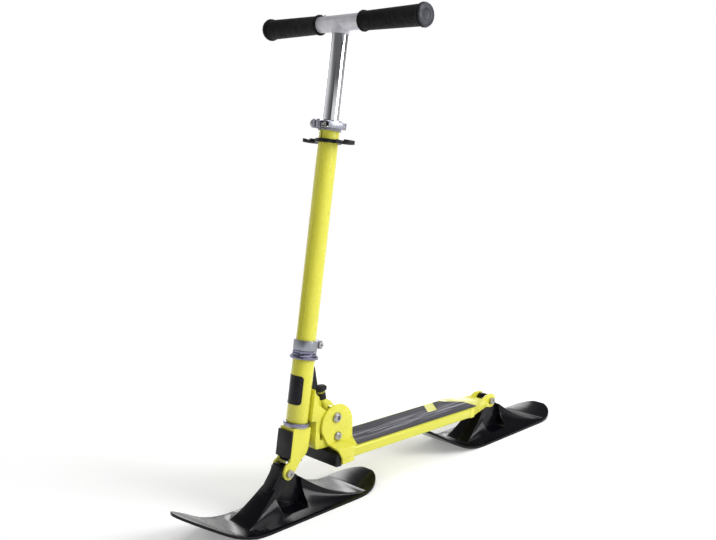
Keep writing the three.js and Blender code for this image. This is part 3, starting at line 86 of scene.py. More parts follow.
# Flags round the room that mirror rays see: degrees from +X towards +Y, how bright, and the height of
# a ray's direction at which the flag ends and the dark ceiling starts
FLAGS = (
    (-179, 0.6, 0.02),
    (-160, 0.7, 0.05),
    (-145, 0.9, 0.3),
    (-110, 0.9, 0.3),
    (-90, 0.7, 0.3),
    (-62, 0.95, 0.45),
    (-32, 0.6, 0.45),
    (-12, 0.34, 0.45),
    (4, 0.2, 0.45),
    (24, 0.13, 0.45),
    (44, 0.07, 0.45),
    (53, 0.9, 0.3),
    (96, 1.0, 0.2),
    (106, 0.62, 0.12),
    (150, 0.6, 0.1),
    (179, 0.6, 0.1),
)
CEILING_FADE = 0.14
CEILING_GREY = 0.15
# Strength of the world as a light, and what the near floor is lifted by for camera and mirror rays
FILL = 0.24
FLOOR_LIFT = 0.24
# From where the floor starts to be white to camera and mirror rays, to where it is fully white
FLOOR_FADE = (0.7, 1.6)
# Cuts across the floor each way
FLOOR_CUTS = 8

# Corners closer than this are merged, and faces that turn less than this are joined into one
MERGE = 1e-6
FLAT = 0.5
# Edges sharper than this are rounded, and softer ones are shaded smooth
SHARP = 30
SHARP_SKI = 32
SHARP_BADGE = 35
SHARP_BEAD = 60

# The steering axis starts at the steer joint's point, and the head tube's foot lies this far up it
TUBE_FOOT = 0.0915
TUBE_RADIUS = 0.0188
# How far the badge plate stands off the tube, and its cuts across and round each corner
BADGE_GAP = 0.0001
BADGE_CUTS = 24
BADGE_CORNER_CUTS = 6
# The width of its rim, the depth inside the rim and the rim's inner step, as shares of its thickness
BADGE_RIM = 1.6
BADGE_SUNK = 0.35
BADGE_STEP = 0.2
# Half the length of the latch barrel, whose spring lies at its middle
BARREL_HALF = 0.0165
# How nearly a face has to point along an axis to count as facing it
FACING = 0.9
# The ferrule's sides, and the share of its wall that its edges are rounded by
FERRULE_SIDES = 48
FERRULE_ROUND = 0.3
# Corners of the front ski's neck from its axle: metres forward and up
NECK = (
    (-0.0070, 0.0065),
    (-0.0085, 0.0105),
    (-0.0040, 0.0127),
    (0.0020, 0.0138),
    (0.0078, 0.0142),
    (0.0096, 0.0134),
    (0.0116, 0.0110),
    (0.0157, 0.0042),
    (0.0203, -0.0033),
    (0.0254, -0.0098),
    (0.0305, -0.0163),
    (0.0349, -0.0220),
    (0.0390, -0.0268),
    (0.0280, -0.0300),
    (0.0120, -0.0140),
    (0.0094, 0.0000),
    (0.0065, 0.0065),
    (0.0000, 0.0093),
)
# The clear band in the tape ends within this of the scooter's middle, lies further than this from the
# tape's ends, and the normals of its end rise less than this
BAND_END = 0.004
BAND_CLEAR = 0.02
BAND_RISE = 0.5
# The worn streaks in the tape: how far left their middle lies, and from where to where they fade to
# each side of it
STREAK_LEFT = 0.006
STREAK_FADE = (0.006, 0.022)
# Share of a bolt head's radius that its socket takes, and how near the head's end its rim is looked for
SOCKET_SHARE = 0.5
SOCKET_RIM = 0.0005
# A plate weld stands where the lower part of a side plate ends behind, a little out of the deck's side,
# between two heights above the plate's foot
PLATE_REAR = 0.1475
WELD_OUT = 0.0004
WELD_FOOT = 0.0045
WELD_HEAD = 0.0145
# A bead's sides, and the share that it draws in to between its ripples
WELD_SIDES = 10
WELD_WAIST = 0.8

# Nodes that share a finish
PAINTED = ("head_tube", "fork", "side_plate_left", "side_plate_right", "rear_fork", "outer_column")
NYLON = ("stop_block", "latch_knob", "handle_clip", "tbar_bush", "fold_lever")
TURNED = ("lower_cup", "upper_cup", "adjusting_race", "lock_nut", "fold_washer")
BOLTS = ("front_axle_bolt", "rear_axle_bolt", "pivot_bolt", "lower_collar_bolt")
SMALL_ZINC = (
    "front_axle_nut",
    "rear_axle_nut",
    "pivot_nut",
    "fold_skewer",
    "fold_skewer_nut",
    "top_skewer_nut",
    "top_skewer",
    "latch_plunger",
    "spring_button_left",
    "spring_button_right",
    "crown_race",
)


# Colours and sizes that a user would change


def grey(value):
    return (value, value, value, 1)


def linear(code):
    """Turns an sRGB hex colour such as #c9cf2f into linear RGBA."""
    channels = [int(code[i : i + 2], 16) / 255 for i in (1, 3, 5)]
    return [c / 12.92 if c <= 0.04045 else ((c + 0.055) / 1.055) ** 2.4 for c in channels] + [1.0]


def colour(name, code, description):
    return FloatVectorProperty(
        name=name, description=description, default=linear(code), size=4, subtype="COLOR", min=0, max=1
    )


def length(name, millimetres, description):
    return FloatProperty(
        name=name, description=description, default=millimetres / 1000, min=0, unit="LENGTH", precision=5
    )


class ScooterColours(bpy.types.PropertyGroup):
    """Colours of the finishes."""

    paint: colour("Paint", "#e8e44a", "Powder coat of the steel frame")
    deck_coat: colour("Deck coat", "#e3e150", "Coloured coat of the deck extrusion")
    ski_black: colour("Ski black", "#08080d", "Moulded polyethylene of the skis")
    nylon_black: colour("Nylon black", "#0d0d12", "Moulded nylon parts")
    cap_black: colour("Cap black", "#2c2d35", "Moulded caps at the ends of the grips")
    rubber_black: colour("Rubber black", "#060608", "Grips")
    tape_grey: colour("Tape grey", "#3a3a42", "Grit of the deck tape")
    tape_streak: colour("Tape streak", "#9c9ba6", "Lighter streaks in the tape")
    chrome_tint: colour("Chrome tint", "#dcdde1", "Plated tubes")
    cast_tint: colour("Cast tint", "#a0a2ac", "Cast aluminium collars and lever")
    head_tint: colour("Head tint", "#dcdce3", "Cast aluminium T-piece")
    turned_tint: colour("Turned tint", "#8a89a0", "Turned steel rings and nuts")
    zinc_tint: colour("Zinc tint", "#b6b4b3", "Zinc plated bolts and nuts")
    brass_tint: colour("Brass tint", "#b08d48", "Pivot bush")
    badge_black: colour("Badge black", "#131218", "Bare enamelled plate on the head tube")
    floor_white: colour("Floor white", "#f4f4f4", "Studio floor")


class ScooterSizes(bpy.types.PropertyGroup):
    """Sizes of the pieces made here."""

    badge_width: length("Badge width", 39, "Along the curve of the head tube")
    badge_height: length("Badge height", 49, "Along the head tube")
    badge_thick: length("Badge thickness", 0.9, "Of the bare plate")
    badge_corner: length("Badge corner", 6, "Radius of its corners")
    badge_foot: length("Badge foot", 31, "Height of its lower edge above the head tube's foot")
    weld_radius: length("Weld radius", 1.7, "Of a weld bead")
    weld_step: length("Weld step", 2.6, "From one ripple of a weld bead to the next")
    ferrule_radius: length("Ferrule radius", 7.5, "Outside of the sleeve round the latch barrel")
    ferrule_wall: length("Ferrule wall", 0.85, "Of the sleeve round the latch barrel")
    ferrule_length: length("Ferrule length", 12, "Along the latch barrel")
    socket_depth: length("Socket depth", 2.4, "Of the six-sided sockets in the bolt heads")
    neck_half: length("Neck half width", 12.4, "Of the ski's neck in front of its axle")
    band_slant: length("Band slant", 24, "How far the clear band in the tape runs forward on its way in")
    edge_round: length("Edge round", 0.45, "Of the edges of moulded, cast and painted pieces")
    small_round: length("Small round", 0.3, "Of the edges of the deck, the bolts and the nuts")
    fine_round: length("Fine round", 0.2, "Of the edges of the tubes, the rings and the tape")
    floor_half: length("Floor half", 6000, "Half of the floor's side")


# Tools for shaders


def put(tree, made, kind, inputs=None, settings=None):
    """Adds one node. An input given as text is linked to that earlier row: to its first output, or to
    the one that follows a colon."""
    node = tree.nodes.new("ShaderNode" + kind)
    for name, value in (settings or {}).items():
        setattr(node, name, value)
    for name, value in (inputs or {}).items():
        if isinstance(value, str):
            key, _, output = value.partition(":")
            output = int(output) if output.isdigit() else output or 0
            tree.links.new(made[key].outputs[output], node.inputs[name])
        else:
            node.inputs[name].default_value = value
    return node


def wire(tree, rows):
    """Builds a tree from rows of key, kind of node, inputs and settings."""
    tree.nodes.clear()
    made = {}
    for key, *row in rows:
        made[key] = put(tree, made, *row)
    return made


def finish(name, *rows):
    """A material whose last row is its surface; the row called at gives Object coordinates."""
    material = bpy.data.materials.new(name)
    material.use_nodes = True
    surface = ("out", "OutputMaterial", {"Surface": rows[-1][0]})
    wire(material.node_tree, (("at", "TexCoord"), *rows, surface))
    return material


def grain(millimetres):
    """Noise scale at which one blob is about this many millimetres across."""
    return 1000 / millimetres


def shade(colour_value, factor):
    return [c * factor for c in colour_value[:3]] + [1.0]


# The pattern's place, and the settings that rows share
AT = "at:Object"
COLOURS = {"data_type": "RGBA"}
TIMES = {"operation": "MULTIPLY"}
GREATER = {"operation": "MAXIMUM"}


# Finishes, each named for the real material and how its surface was made


def powder_coated_steel(name, tint):
    """Gloss polyester powder coat: orange peel 2 mm across, soft clouds of depth and a few scuffs."""
    return finish(
        name,
        ("cloud", "TexNoise", {"Vector": AT, "Scale": grain(70), "Detail": 2}),
        ("depth", "MapRange", {"Value": "cloud", "From Min": 0.3, "From Max": 0.7}),
        ("clean", "Mix", {0: "depth", 6: shade(tint, 0.96), 7: tint}, COLOURS),
        ("drawn", "Mapping", {"Vector": AT, "Scale": (1, 1, 0.35)}),
        ("scuff", "TexNoise", {"Vector": "drawn", "Scale": grain(9), "Detail": 6}),
        ("worn", "MapRange", {"Value": "scuff", "From Min": 0.7, "From Max": 0.76}),
        ("paint", "Mix", {0: "worn", 6: "clean:2", 7: shade(tint, 0.86)}, COLOURS),
        ("film", "TexNoise", {"Vector": AT, "Scale": grain(14), "Detail": 4}),
        (
            "rough",
            "MapRange",
            {"Value": "film", "From Min": 0.35, "From Max": 0.65, "To Min": 0.25, "To Max": 0.36},
        ),
        ("peel", "TexNoise", {"Vector": AT, "Scale": grain(2.1), "Detail": 1}),
        ("skin", "Bump", {"Height": "peel", "Strength": 0.55, "Distance": 0.000035}),
        (
            "coat",
            "BsdfPrincipled",
            {
                "Base Color": "paint:2",
                "Roughness": "rough",
                "Normal": "skin",
                "IOR": 1.5,
                "Coat Weight": 0.35,
                "Coat Roughness": 0.12,
            },
        ),
    )


def coated_extrusion(name, tint):
    """Extruded aluminium under a satin coloured coat: fine die lines run along the deck."""
    return finish(
        name,
        ("drawn", "Mapping", {"Vector": AT, "Scale": (0.01, 1, 1)}),
        ("lines", "TexNoise", {"Vector": "drawn", "Scale": grain(0.9), "Detail": 2}),
        ("depth", "MapRange", {"Value": "lines", "From Min": 0.3, "From Max": 0.7}),
        ("paint", "Mix", {0: "depth", 6: shade(tint, 0.94), 7: tint}, COLOURS),
        ("film", "TexNoise", {"Vector": AT, "Scale": grain(25), "Detail": 4}),
        (
            "rough",
            "MapRange",
            {"Value": "film", "From Min": 0.35, "From Max": 0.65, "To Min": 0.34, "To Max": 0.46},
        ),
        ("skin", "Bump", {"Height": "lines", "Strength": 0.5, "Distance": 0.00003}),
        (
            "coat",
            "BsdfPrincipled",
            {
                "Base Color": "paint:2",
                "Roughness": "rough",
                "Normal": "skin",
                "IOR": 1.5,
                "Metallic": 0.1,
                "Coat Weight": 0.2,
                "Coat Roughness": 0.2,
            },
        ),
    )


def moulded_polyethylene(name, tint):
    """High density polyethylene from a polished mould: glossy and near black, with a grain of 0.9 mm,
    drawn coarse to show, soft flow marks, and scratches along the sole."""
    return finish(
        name,
        ("pits", "TexVoronoi", {"Vector": AT, "Scale": grain(0.9)}, {"feature": "SMOOTH_F1"}),
        ("swept", "Mapping", {"Vector": AT, "Scale": (0.4, 1, 1)}),
        ("flow", "TexNoise", {"Vector": "swept", "Scale": grain(40), "Detail": 3}),
        ("drawn", "Mapping", {"Vector": AT, "Scale": (0.02, 1, 1)}),
        ("lines", "TexNoise", {"Vector": "drawn", "Scale": grain(1.6), "Detail": 4}),
        ("scratch", "MapRange", {"Value": "lines", "From Min": 0.52, "From Max": 0.62}),
        ("face", "NewGeometry"),
        ("facing", "SeparateXYZ", {"Vector": "face:Normal"}),
        (
            "sole",
            "MapRange",
            {"Value": "facing:Z", "From Min": -0.9, "From Max": -0.6, "To Min": 1, "To Max": 0},
        ),
        ("marks", "Math", {0: "sole", 1: "scratch"}, TIMES),
        ("drift", "MapRange", {"Value": "flow", "From Min": 0.35, "From Max": 0.65}),
        ("black", "Mix", {0: "drift", 6: tint, 7: shade(tint, 1.35)}, COLOURS),
        ("worn", "Mix", {0: "marks", 6: "black:2", 7: shade(tint, 3.2)}, COLOURS),
        (
            "rough",
            "MapRange",
            {"Value": "flow", "From Min": 0.35, "From Max": 0.65, "To Min": 0.15, "To Max": 0.21},
        ),
        ("skin", "Bump", {"Height": "pits", "Strength": 0.2, "Distance": 0.00002}),
        (
            "cuts",
            "Bump",
            {"Height": "marks", "Strength": 0.6, "Distance": 0.00005, "Normal": "skin"},
            {"invert": True},
        ),
        (
            "plastic",
            "BsdfPrincipled",
            {
                "Base Color": "worn:2",
                "Roughness": "rough",
                "Normal": "cuts",
                "IOR": 1.54,
                "Specular IOR Level": 0.2,
            },
        ),
    )


def moulded_nylon(name, tint):
    """Glass filled nylon: spark eroded grain of 0.7 mm and a slightly uneven satin."""
    return finish(
        name,
        ("grit", "TexNoise", {"Vector": AT, "Scale": grain(0.7), "Detail": 2}),
        ("cloud", "TexNoise", {"Vector": AT, "Scale": grain(18), "Detail": 3}),
        ("drift", "MapRange", {"Value": "cloud", "From Min": 0.35, "From Max": 0.65}),
        ("black", "Mix", {0: "drift", 6: tint, 7: shade(tint, 1.5)}, COLOURS),
        ("film", "TexNoise", {"Vector": AT, "Scale": grain(11), "Detail": 3}),
        (
            "rough",
            "MapRange",
            {"Value": "film", "From Min": 0.35, "From Max": 0.65, "To Min": 0.4, "To Max": 0.52},
        ),
        ("skin", "Bump", {"Height": "grit", "Strength": 0.5, "Distance": 0.00004}),
        (
            "plastic",
            "BsdfPrincipled",
            {
                "Base Color": "black:2",
                "Roughness": "rough",
                "Normal": "skin",
                "IOR": 1.53,
                "Specular IOR Level": 0.3,
            },
        ),
    )


def foamed_rubber(name, tint):
    """Thermoplastic rubber grip: open pores under 1 mm, matt, with paler dust in the pores."""
    return finish(
        name,
        ("pores", "TexVoronoi", {"Vector": AT, "Scale": grain(1.1)}),
        ("dust", "MapRange", {"Value": "pores", "From Min": 0.1, "From Max": 0.5}),
        ("black", "Mix", {0: "dust", 6: shade(tint, 2.0), 7: tint}, COLOURS),
        ("film", "TexNoise", {"Vector": AT, "Scale": grain(6), "Detail": 3}),
        (
            "rough",
            "MapRange",
            {"Value": "film", "From Min": 0.35, "From Max": 0.65, "To Min": 0.6, "To Max": 0.78},
        ),
        ("skin", "Bump", {"Height": "pores", "Strength": 0.6, "Distance": 0.00012}),
        (
            "rubber",
            "BsdfPrincipled",
            {
                "Base Color": "black:2",
                "Roughness": "rough",
                "Normal": "skin",
                "IOR": 1.5,
                "Specular IOR Level": 0.2,
                "Sheen Weight": 0.03,
                "Sheen Roughness": 0.5,
            },
        ),
    )


def grit_tape(name, tint, streak):
    """Silicon carbide grit on tape: grains of 0.8 mm, drawn coarse to show, with paler worn streaks
    along the foot's path."""
    return finish(
        name,
        ("grains", "TexVoronoi", {"Vector": AT, "Scale": grain(0.8)}),
        ("parts", "SeparateColor", {"Color": "grains:Color"}),
        ("tone", "MapRange", {"Value": "parts:Red", "From Min": 0.2, "From Max": 0.95}),
        ("ground", "Mix", {0: "tone", 6: shade(tint, 0.72), 7: shade(tint, 1.25)}, COLOURS),
        ("place", "SeparateXYZ", {"Vector": AT}),
        ("across", "Math", {0: "place:Y", 1: STREAK_LEFT}, {"operation": "SUBTRACT"}),
        ("away", "Math", {0: "across"}, {"operation": "ABSOLUTE"}),
        (
            "middle",
            "MapRange",
            {
                "Value": "away",
                "From Min": STREAK_FADE[0],
                "From Max": STREAK_FADE[1],
                "To Min": 1,
                "To Max": 0,
            },
        ),
        ("drawn", "Mapping", {"Vector": AT, "Scale": (0.04, 1, 1)}),
        ("lines", "TexNoise", {"Vector": "drawn", "Scale": grain(5), "Detail": 3}),
        ("path", "MapRange", {"Value": "lines", "From Min": 0.46, "From Max": 0.6}),
        ("streaks", "Math", {0: "middle", 1: "path"}, TIMES),
        ("worn", "Mix", {0: "streaks", 6: "ground:2", 7: streak}, COLOURS),
        (
            "rough",
            "MapRange",
            {"Value": "parts:Red", "From Min": 0, "From Max": 1, "To Min": 0.62, "To Max": 0.9},
        ),
        ("skin", "Bump", {"Height": "grains", "Strength": 0.7, "Distance": 0.00025}),
        (
            "grit",
            "BsdfPrincipled",
            {
                "Base Color": "worn:2",
                "Roughness": "rough",
                "Normal": "skin",
                "IOR": 1.6,
            },
        ),
    )


def plated_chrome(name, tint):
    """Nickel chrome plate on steel tube: a mirror with faint polishing lines and finger haze."""
    return finish(
        name,
        ("haze", "TexNoise", {"Vector": AT, "Scale": grain(30), "Detail": 4}),
        ("drift", "MapRange", {"Value": "haze", "From Min": 0.35, "From Max": 0.65}),
        ("plate", "Mix", {0: "drift", 6: shade(tint, 0.94), 7: tint}, COLOURS),
        (
            "rough",
            "MapRange",
            {"Value": "haze", "From Min": 0.35, "From Max": 0.65, "To Min": 0.06, "To Max": 0.12},
        ),
        ("drawn", "Mapping", {"Vector": AT, "Scale": (1, 1, 0.04)}),
        ("lines", "TexNoise", {"Vector": "drawn", "Scale": grain(0.5), "Detail": 2}),
        ("skin", "Bump", {"Height": "lines", "Strength": 0.3, "Distance": 0.000004}),
        (
            "metal",
            "BsdfPrincipled",
            {
                "Base Color": "plate:2",
                "Roughness": "rough",
                "Normal": "skin",
                "Metallic": 1.0,
            },
        ),
    )


def cast_aluminium(name, tint, metallic=0.9):
    """Die cast and tumbled aluminium: a fine pebbled satin with darker hollows."""
    return finish(
        name,
        ("pebble", "TexNoise", {"Vector": AT, "Scale": grain(0.8), "Detail": 3}),
        ("cloud", "TexNoise", {"Vector": AT, "Scale": grain(12), "Detail": 4}),
        ("hollow", "MapRange", {"Value": "cloud", "From Min": 0.35, "From Max": 0.65}),
        ("metal", "Mix", {0: "hollow", 6: shade(tint, 0.86), 7: tint}, COLOURS),
        ("film", "TexNoise", {"Vector": AT, "Scale": grain(5), "Detail": 3}),
        (
            "rough",
            "MapRange",
            {"Value": "film", "From Min": 0.35, "From Max": 0.65, "To Min": 0.3, "To Max": 0.42},
        ),
        ("skin", "Bump", {"Height": "pebble", "Strength": 0.4, "Distance": 0.00003}),
        (
            "alloy",
            "BsdfPrincipled",
            {
                "Base Color": "metal:2",
                "Roughness": "rough",
                "Normal": "skin",
                "Metallic": metallic,
            },
        ),
    )


def turned_steel(name, tint):
    """Turned steel: tool marks 0.4 mm apart round the part, drawn coarse to show."""
    return finish(
        name,
        ("drawn", "Mapping", {"Vector": AT, "Scale": (0.2, 0.2, 1)}),
        ("marks", "TexNoise", {"Vector": "drawn", "Scale": grain(0.8), "Detail": 2}),
        ("depth", "MapRange", {"Value": "marks", "From Min": 0.35, "From Max": 0.65}),
        ("metal", "Mix", {0: "depth", 6: shade(tint, 0.86), 7: tint}, COLOURS),
        ("film", "TexNoise", {"Vector": AT, "Scale": grain(4), "Detail": 3}),
        (
            "rough",
            "MapRange",
            {"Value": "film", "From Min": 0.35, "From Max": 0.65, "To Min": 0.2, "To Max": 0.32},
        ),
        ("skin", "Bump", {"Height": "marks", "Strength": 0.4, "Distance": 0.000012}),
        (
            "steel",
            "BsdfPrincipled",
            {
                "Base Color": "metal:2",
                "Roughness": "rough",
                "Normal": "skin",
                "Metallic": 1.0,
                "Anisotropic": 0.35,
            },
        ),
    )


def zinc_plated_steel(name, tint):
    """Clear passivated zinc: a soft grey metal with a faint spangle and dull patches."""
    return finish(
        name,
        ("spangle", "TexVoronoi", {"Vector": AT, "Scale": grain(1.8)}),
        ("flake", "MapRange", {"Value": "spangle", "From Min": 0.1, "From Max": 0.6}),
        ("metal", "Mix", {0: "flake", 6: shade(tint, 0.86), 7: tint}, COLOURS),
        ("patch", "TexNoise", {"Vector": AT, "Scale": grain(7), "Detail": 4}),
        (
            "rough",
            "MapRange",
            {"Value": "patch", "From Min": 0.35, "From Max": 0.65, "To Min": 0.34, "To Max": 0.5},
        ),
        ("skin", "Bump", {"Height": "patch", "Strength": 0.3, "Distance": 0.00002}),
        (
            "zinc",
            "BsdfPrincipled",
            {
                "Base Color": "metal:2",
                "Roughness": "rough",
                "Normal": "skin",
                "Metallic": 1.0,
            },
        ),
    )


def enamelled_plate(name, tint):
    """Stove enamel on a pressed plate: deep gloss with a little waviness."""
    return finish(
        name,
        ("cloud", "TexNoise", {"Vector": AT, "Scale": grain(16), "Detail": 2}),
        ("drift", "MapRange", {"Value": "cloud", "From Min": 0.35, "From Max": 0.65}),
        ("black", "Mix", {0: "drift", 6: tint, 7: shade(tint, 2.2)}, COLOURS),
        ("film", "TexNoise", {"Vector": AT, "Scale": grain(8), "Detail": 3}),
        (
            "rough",
            "MapRange",
            {"Value": "film", "From Min": 0.35, "From Max": 0.65, "To Min": 0.22, "To Max": 0.34},
        ),
        ("wave", "TexNoise", {"Vector": AT, "Scale": grain(4), "Detail": 1}),
        ("skin", "Bump", {"Height": "wave", "Strength": 0.3, "Distance": 0.00003}),
        (
            "enamel",
            "BsdfPrincipled",
            {
                "Base Color": "black:2",
                "Roughness": "rough",
                "Normal": "skin",
                "IOR": 1.52,
                "Specular IOR Level": 0.2,
                "Coat Weight": 0.1,
                "Coat Roughness": 0.1,
            },
        ),
    )


def matt_floor(name, white):
    """Painted studio floor: matt and faintly mottled. It keeps the shadow. To camera and mirror rays it
    is a little whiter near the scooter, and fully white further out."""
    return finish(
        name,
        ("mottle", "TexNoise", {"Vector": AT, "Scale": grain(400), "Detail": 2}),
        ("drift", "MapRange", {"Value": "mottle", "From Min": 0.35, "From Max": 0.65}),
        ("tone", "Mix", {0: "drift", 6: shade(white, 0.99), 7: white}, COLOURS),
        ("paint", "BsdfDiffuse", {"Color": "tone:2", "Roughness": 0.5}),
        ("rays", "LightPath"),
        ("seen", "Math", {0: "rays:Is Camera Ray", 1: "rays:Is Glossy Ray"}, GREATER),
        ("away", "VectorMath", {0: AT, 1: (0, 0, 0)}, {"operation": "DISTANCE"}),
        ("far", "MapRange", {"Value": "away:Value", "From Min": FLOOR_FADE[0], "From Max": FLOOR_FADE[1]}),
        ("share", "Math", {0: "seen", 1: "far"}, TIMES),
        ("lift", "Math", {0: "seen", 1: FLOOR_LIFT}, TIMES),
        ("haze", "Emission", {"Strength": "lift"}),
        ("near", "AddShader", {0: "paint", 1: "haze"}),
        ("glow", "Emission", {"Strength": 1.0}),
        ("ground", "MixShader", {0: "share", 1: "near", 2: "glow"}),
    )


# Tools for pieces


def deselect():
    if bpy.context.object and bpy.context.object.mode != "OBJECT":
        bpy.ops.object.mode_set(mode="OBJECT")
    bpy.ops.object.select_all(action="DESELECT")


def make_active(obj):
    deselect()
    obj.select_set(True)
    bpy.context.view_layer.objects.active = obj


def apply_modifier(obj, kind, **settings):
    make_active(obj)
    modifier = obj.modifiers.new(kind.title(), kind)
    for name, value in settings.items():
        setattr(modifier, name, value)
    bpy.ops.object.modifier_apply(modifier=modifier.name)


def clothe(obj, material):
    obj.data.materials.clear()
    obj.data.materials.append(material)


def clothe_nodes(names, material):
    for name in names:
        clothe(NODES[name], material)


def copy_of(obj, name):
    """A copy with its own mesh, selected alone."""
    twin = obj.copy()
    twin.data = obj.data.copy()
    twin.name = name
    bpy.context.scene.collection.objects.link(twin)
    make_active(twin)
    return twin


def polish(node, material, edge, angle=SHARP, shaped=None):
    """A merged copy of a CAD node in the node's place, without the marks that the frame put on it, with
    its edges rounded and its curves shaded smooth. A function may be given that shapes it first."""
    obj = copy_of(NODES[node], f"{node}_finished")
    obj.parent = None
    for key in [key for key in obj.keys() if key.startswith("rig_")]:
        del obj[key]
    bpy.ops.object.mode_set(mode="EDIT")
    bpy.ops.mesh.select_all(action="SELECT")
    bpy.ops.mesh.remove_doubles(threshold=MERGE)
    bpy.ops.mesh.dissolve_limited(angle_limit=math.radians(FLAT))
    bpy.ops.object.mode_set(mode="OBJECT")
    if shaped:
        shaped(obj)
    round_edges(obj, edge, angle)
    place(obj, material, BODY_OF[node])
    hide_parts(node)


def polish_all(nodes, material, edge, shaped=None):
    for node in nodes:
        polish(node, material, edge, shaped=shaped)


def round_edges(obj, edge, angle=SHARP):
    limit = math.radians(angle)
    if edge:
        apply_modifier(obj, "BEVEL", width=edge, segments=2, limit_method="ANGLE", angle_limit=limit)
    make_active(obj)
    bpy.ops.object.shade_smooth_by_angle(angle=limit)


def place(obj, material, body):
    clothe(obj, material)
    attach(obj, body)


def select_where(obj, test):
    """Selects, in edit mode, the faces whose centre and normal pass the test, and nothing else."""
    make_active(obj)
    bpy.ops.object.mode_set(mode="EDIT")
    bpy.ops.mesh.select_mode(type="FACE")
    bpy.ops.mesh.select_all(action="DESELECT")
    bpy.ops.object.mode_set(mode="OBJECT")
    for face in obj.data.polygons:
        face.select = bool(test(face.center, face.normal))
    bpy.ops.object.mode_set(mode="EDIT")


def add_primitive(kind, name, **settings):
    """Adds a primitive with its turn and place put into its mesh."""
    deselect()
    getattr(bpy.ops.mesh, f"primitive_{kind}_add")(**settings)
    obj = bpy.context.object
    obj.name = name
    bpy.ops.object.transform_apply(location=True, rotation=True, scale=True)
    return obj


def turn_to(direction):
    """The turn that lays a primitive's own Z along a direction."""
    return Vector(direction).to_track_quat("Z", "Y").to_euler()


def turn_faces_out(obj):
    make_active(obj)
    bpy.ops.object.mode_set(mode="EDIT")
    bpy.ops.mesh.select_all(action="SELECT")
    bpy.ops.mesh.normals_make_consistent(inside=False)
    bpy.ops.object.mode_set(mode="OBJECT")


def combine(obj, tool, operation):
    """Joins a tool to a piece or cuts it out, and removes the tool."""
    apply_modifier(obj, "BOOLEAN", object=tool, operation=operation, solver="EXACT")
    bpy.data.objects.remove(tool)


def sink_socket(obj):
    """Sinks a six-sided socket into the head of a bolt that lies across the scooter, on its +Y end."""
    corners = [vertex.co for vertex in obj.data.vertices]
    end = max(corner.y for corner in corners)
    head = [corner for corner in corners if corner.y > end - SOCKET_RIM]
    middle = sum(head, Vector()) / len(head)
    radius = max((corner - middle).length for corner in head) * SOCKET_SHARE
    depth = bpy.context.scene.scooter_sizes.socket_depth
    tool = add_primitive(
        "cylinder",
        "socket",
        vertices=6,
        radius=radius,
        depth=2 * depth,
        location=(middle.x, end, middle.z),
        rotation=turn_to((0, 1, 0)),
    )
    combine(obj, tool, "DIFFERENCE")


def bead(name, start, end, sizes):
    """A rippled weld bead from start to end."""
    along = end - start
    ripples = max(2, round(along.length / sizes.weld_step))
    step = along / (2 * ripples)
    small = sizes.weld_radius * WELD_WAIST
    obj = add_primitive(
        "circle",
        name,
        vertices=WELD_SIDES,
        radius=small,
        fill_type="NGON",
        location=start,
        rotation=turn_to(along),
    )
    bpy.ops.object.mode_set(mode="EDIT")
    bpy.ops.mesh.select_all(action="SELECT")
    for ring in range(2 * ripples):
        bpy.ops.mesh.extrude_region_move(TRANSFORM_OT_translate={"value": step})
        change = 1 / WELD_WAIST if ring % 2 == 0 else WELD_WAIST
        bpy.ops.transform.resize(value=(change, change, change))
    turn_faces_out(obj)
    round_edges(obj, 0, SHARP_BEAD)
    return obj


class ScooterOperator:
    """What the operators share: the colours and sizes of the scene."""

    bl_options = {"REGISTER", "UNDO"}

    def tint(self, name):
        return list(getattr(bpy.context.scene.scooter_colours, name))

    @property
    def sizes(self):
        return bpy.context.scene.scooter_sizes


# Pieces


class SCOOTER_OT_skis(ScooterOperator, bpy.types.Operator):
    """Give the two moulded skis rounded edges and glossy polyethylene, and the front one its full neck."""

    bl_idname = "scooter.skis"
    bl_label = "Skis"

    def execute(self, context):
        black = moulded_polyethylene("moulded_polyethylene", self.tint("ski_black"))
        edge = self.sizes.edge_round
        polish("front_ski", black, edge, SHARP_SKI, self.add_neck)
        polish("rear_ski", black, edge, SHARP_SKI)
        return {"FINISHED"}

    def add_neck(self, ski):
        """Joins a shoulder to the neck, in front of the axle and between the fork's ears."""
        axle = Vector(JOINTS["front_ski_tilt"]["pos_m"])
        half = self.sizes.neck_half
        neck = add_primitive("circle", "neck", vertices=len(NECK), fill_type="NGON")
        for vertex, (forward, up) in zip(neck.data.vertices, NECK):
            vertex.co = (axle.x + forward, -half, axle.z + up)
        make_active(neck)
        bpy.ops.object.mode_set(mode="EDIT")
        bpy.ops.mesh.select_all(action="SELECT")
        bpy.ops.mesh.extrude_region_move(TRANSFORM_OT_translate={"value": (0, 2 * half, 0)})
        turn_faces_out(neck)
        combine(ski, neck, "UNION")


class SCOOTER_OT_frame(ScooterOperator, bpy.types.Operator):
    """Powder coat the head tube, fork, side plates, rear fork and outer column."""

    bl_idname = "scooter.frame"
    bl_label = "Painted frame"

    def execute(self, context):
        paint = powder_coated_steel("powder_coated_steel", self.tint("paint"))
        polish_all(PAINTED, paint, self.sizes.edge_round)
        return {"FINISHED"}


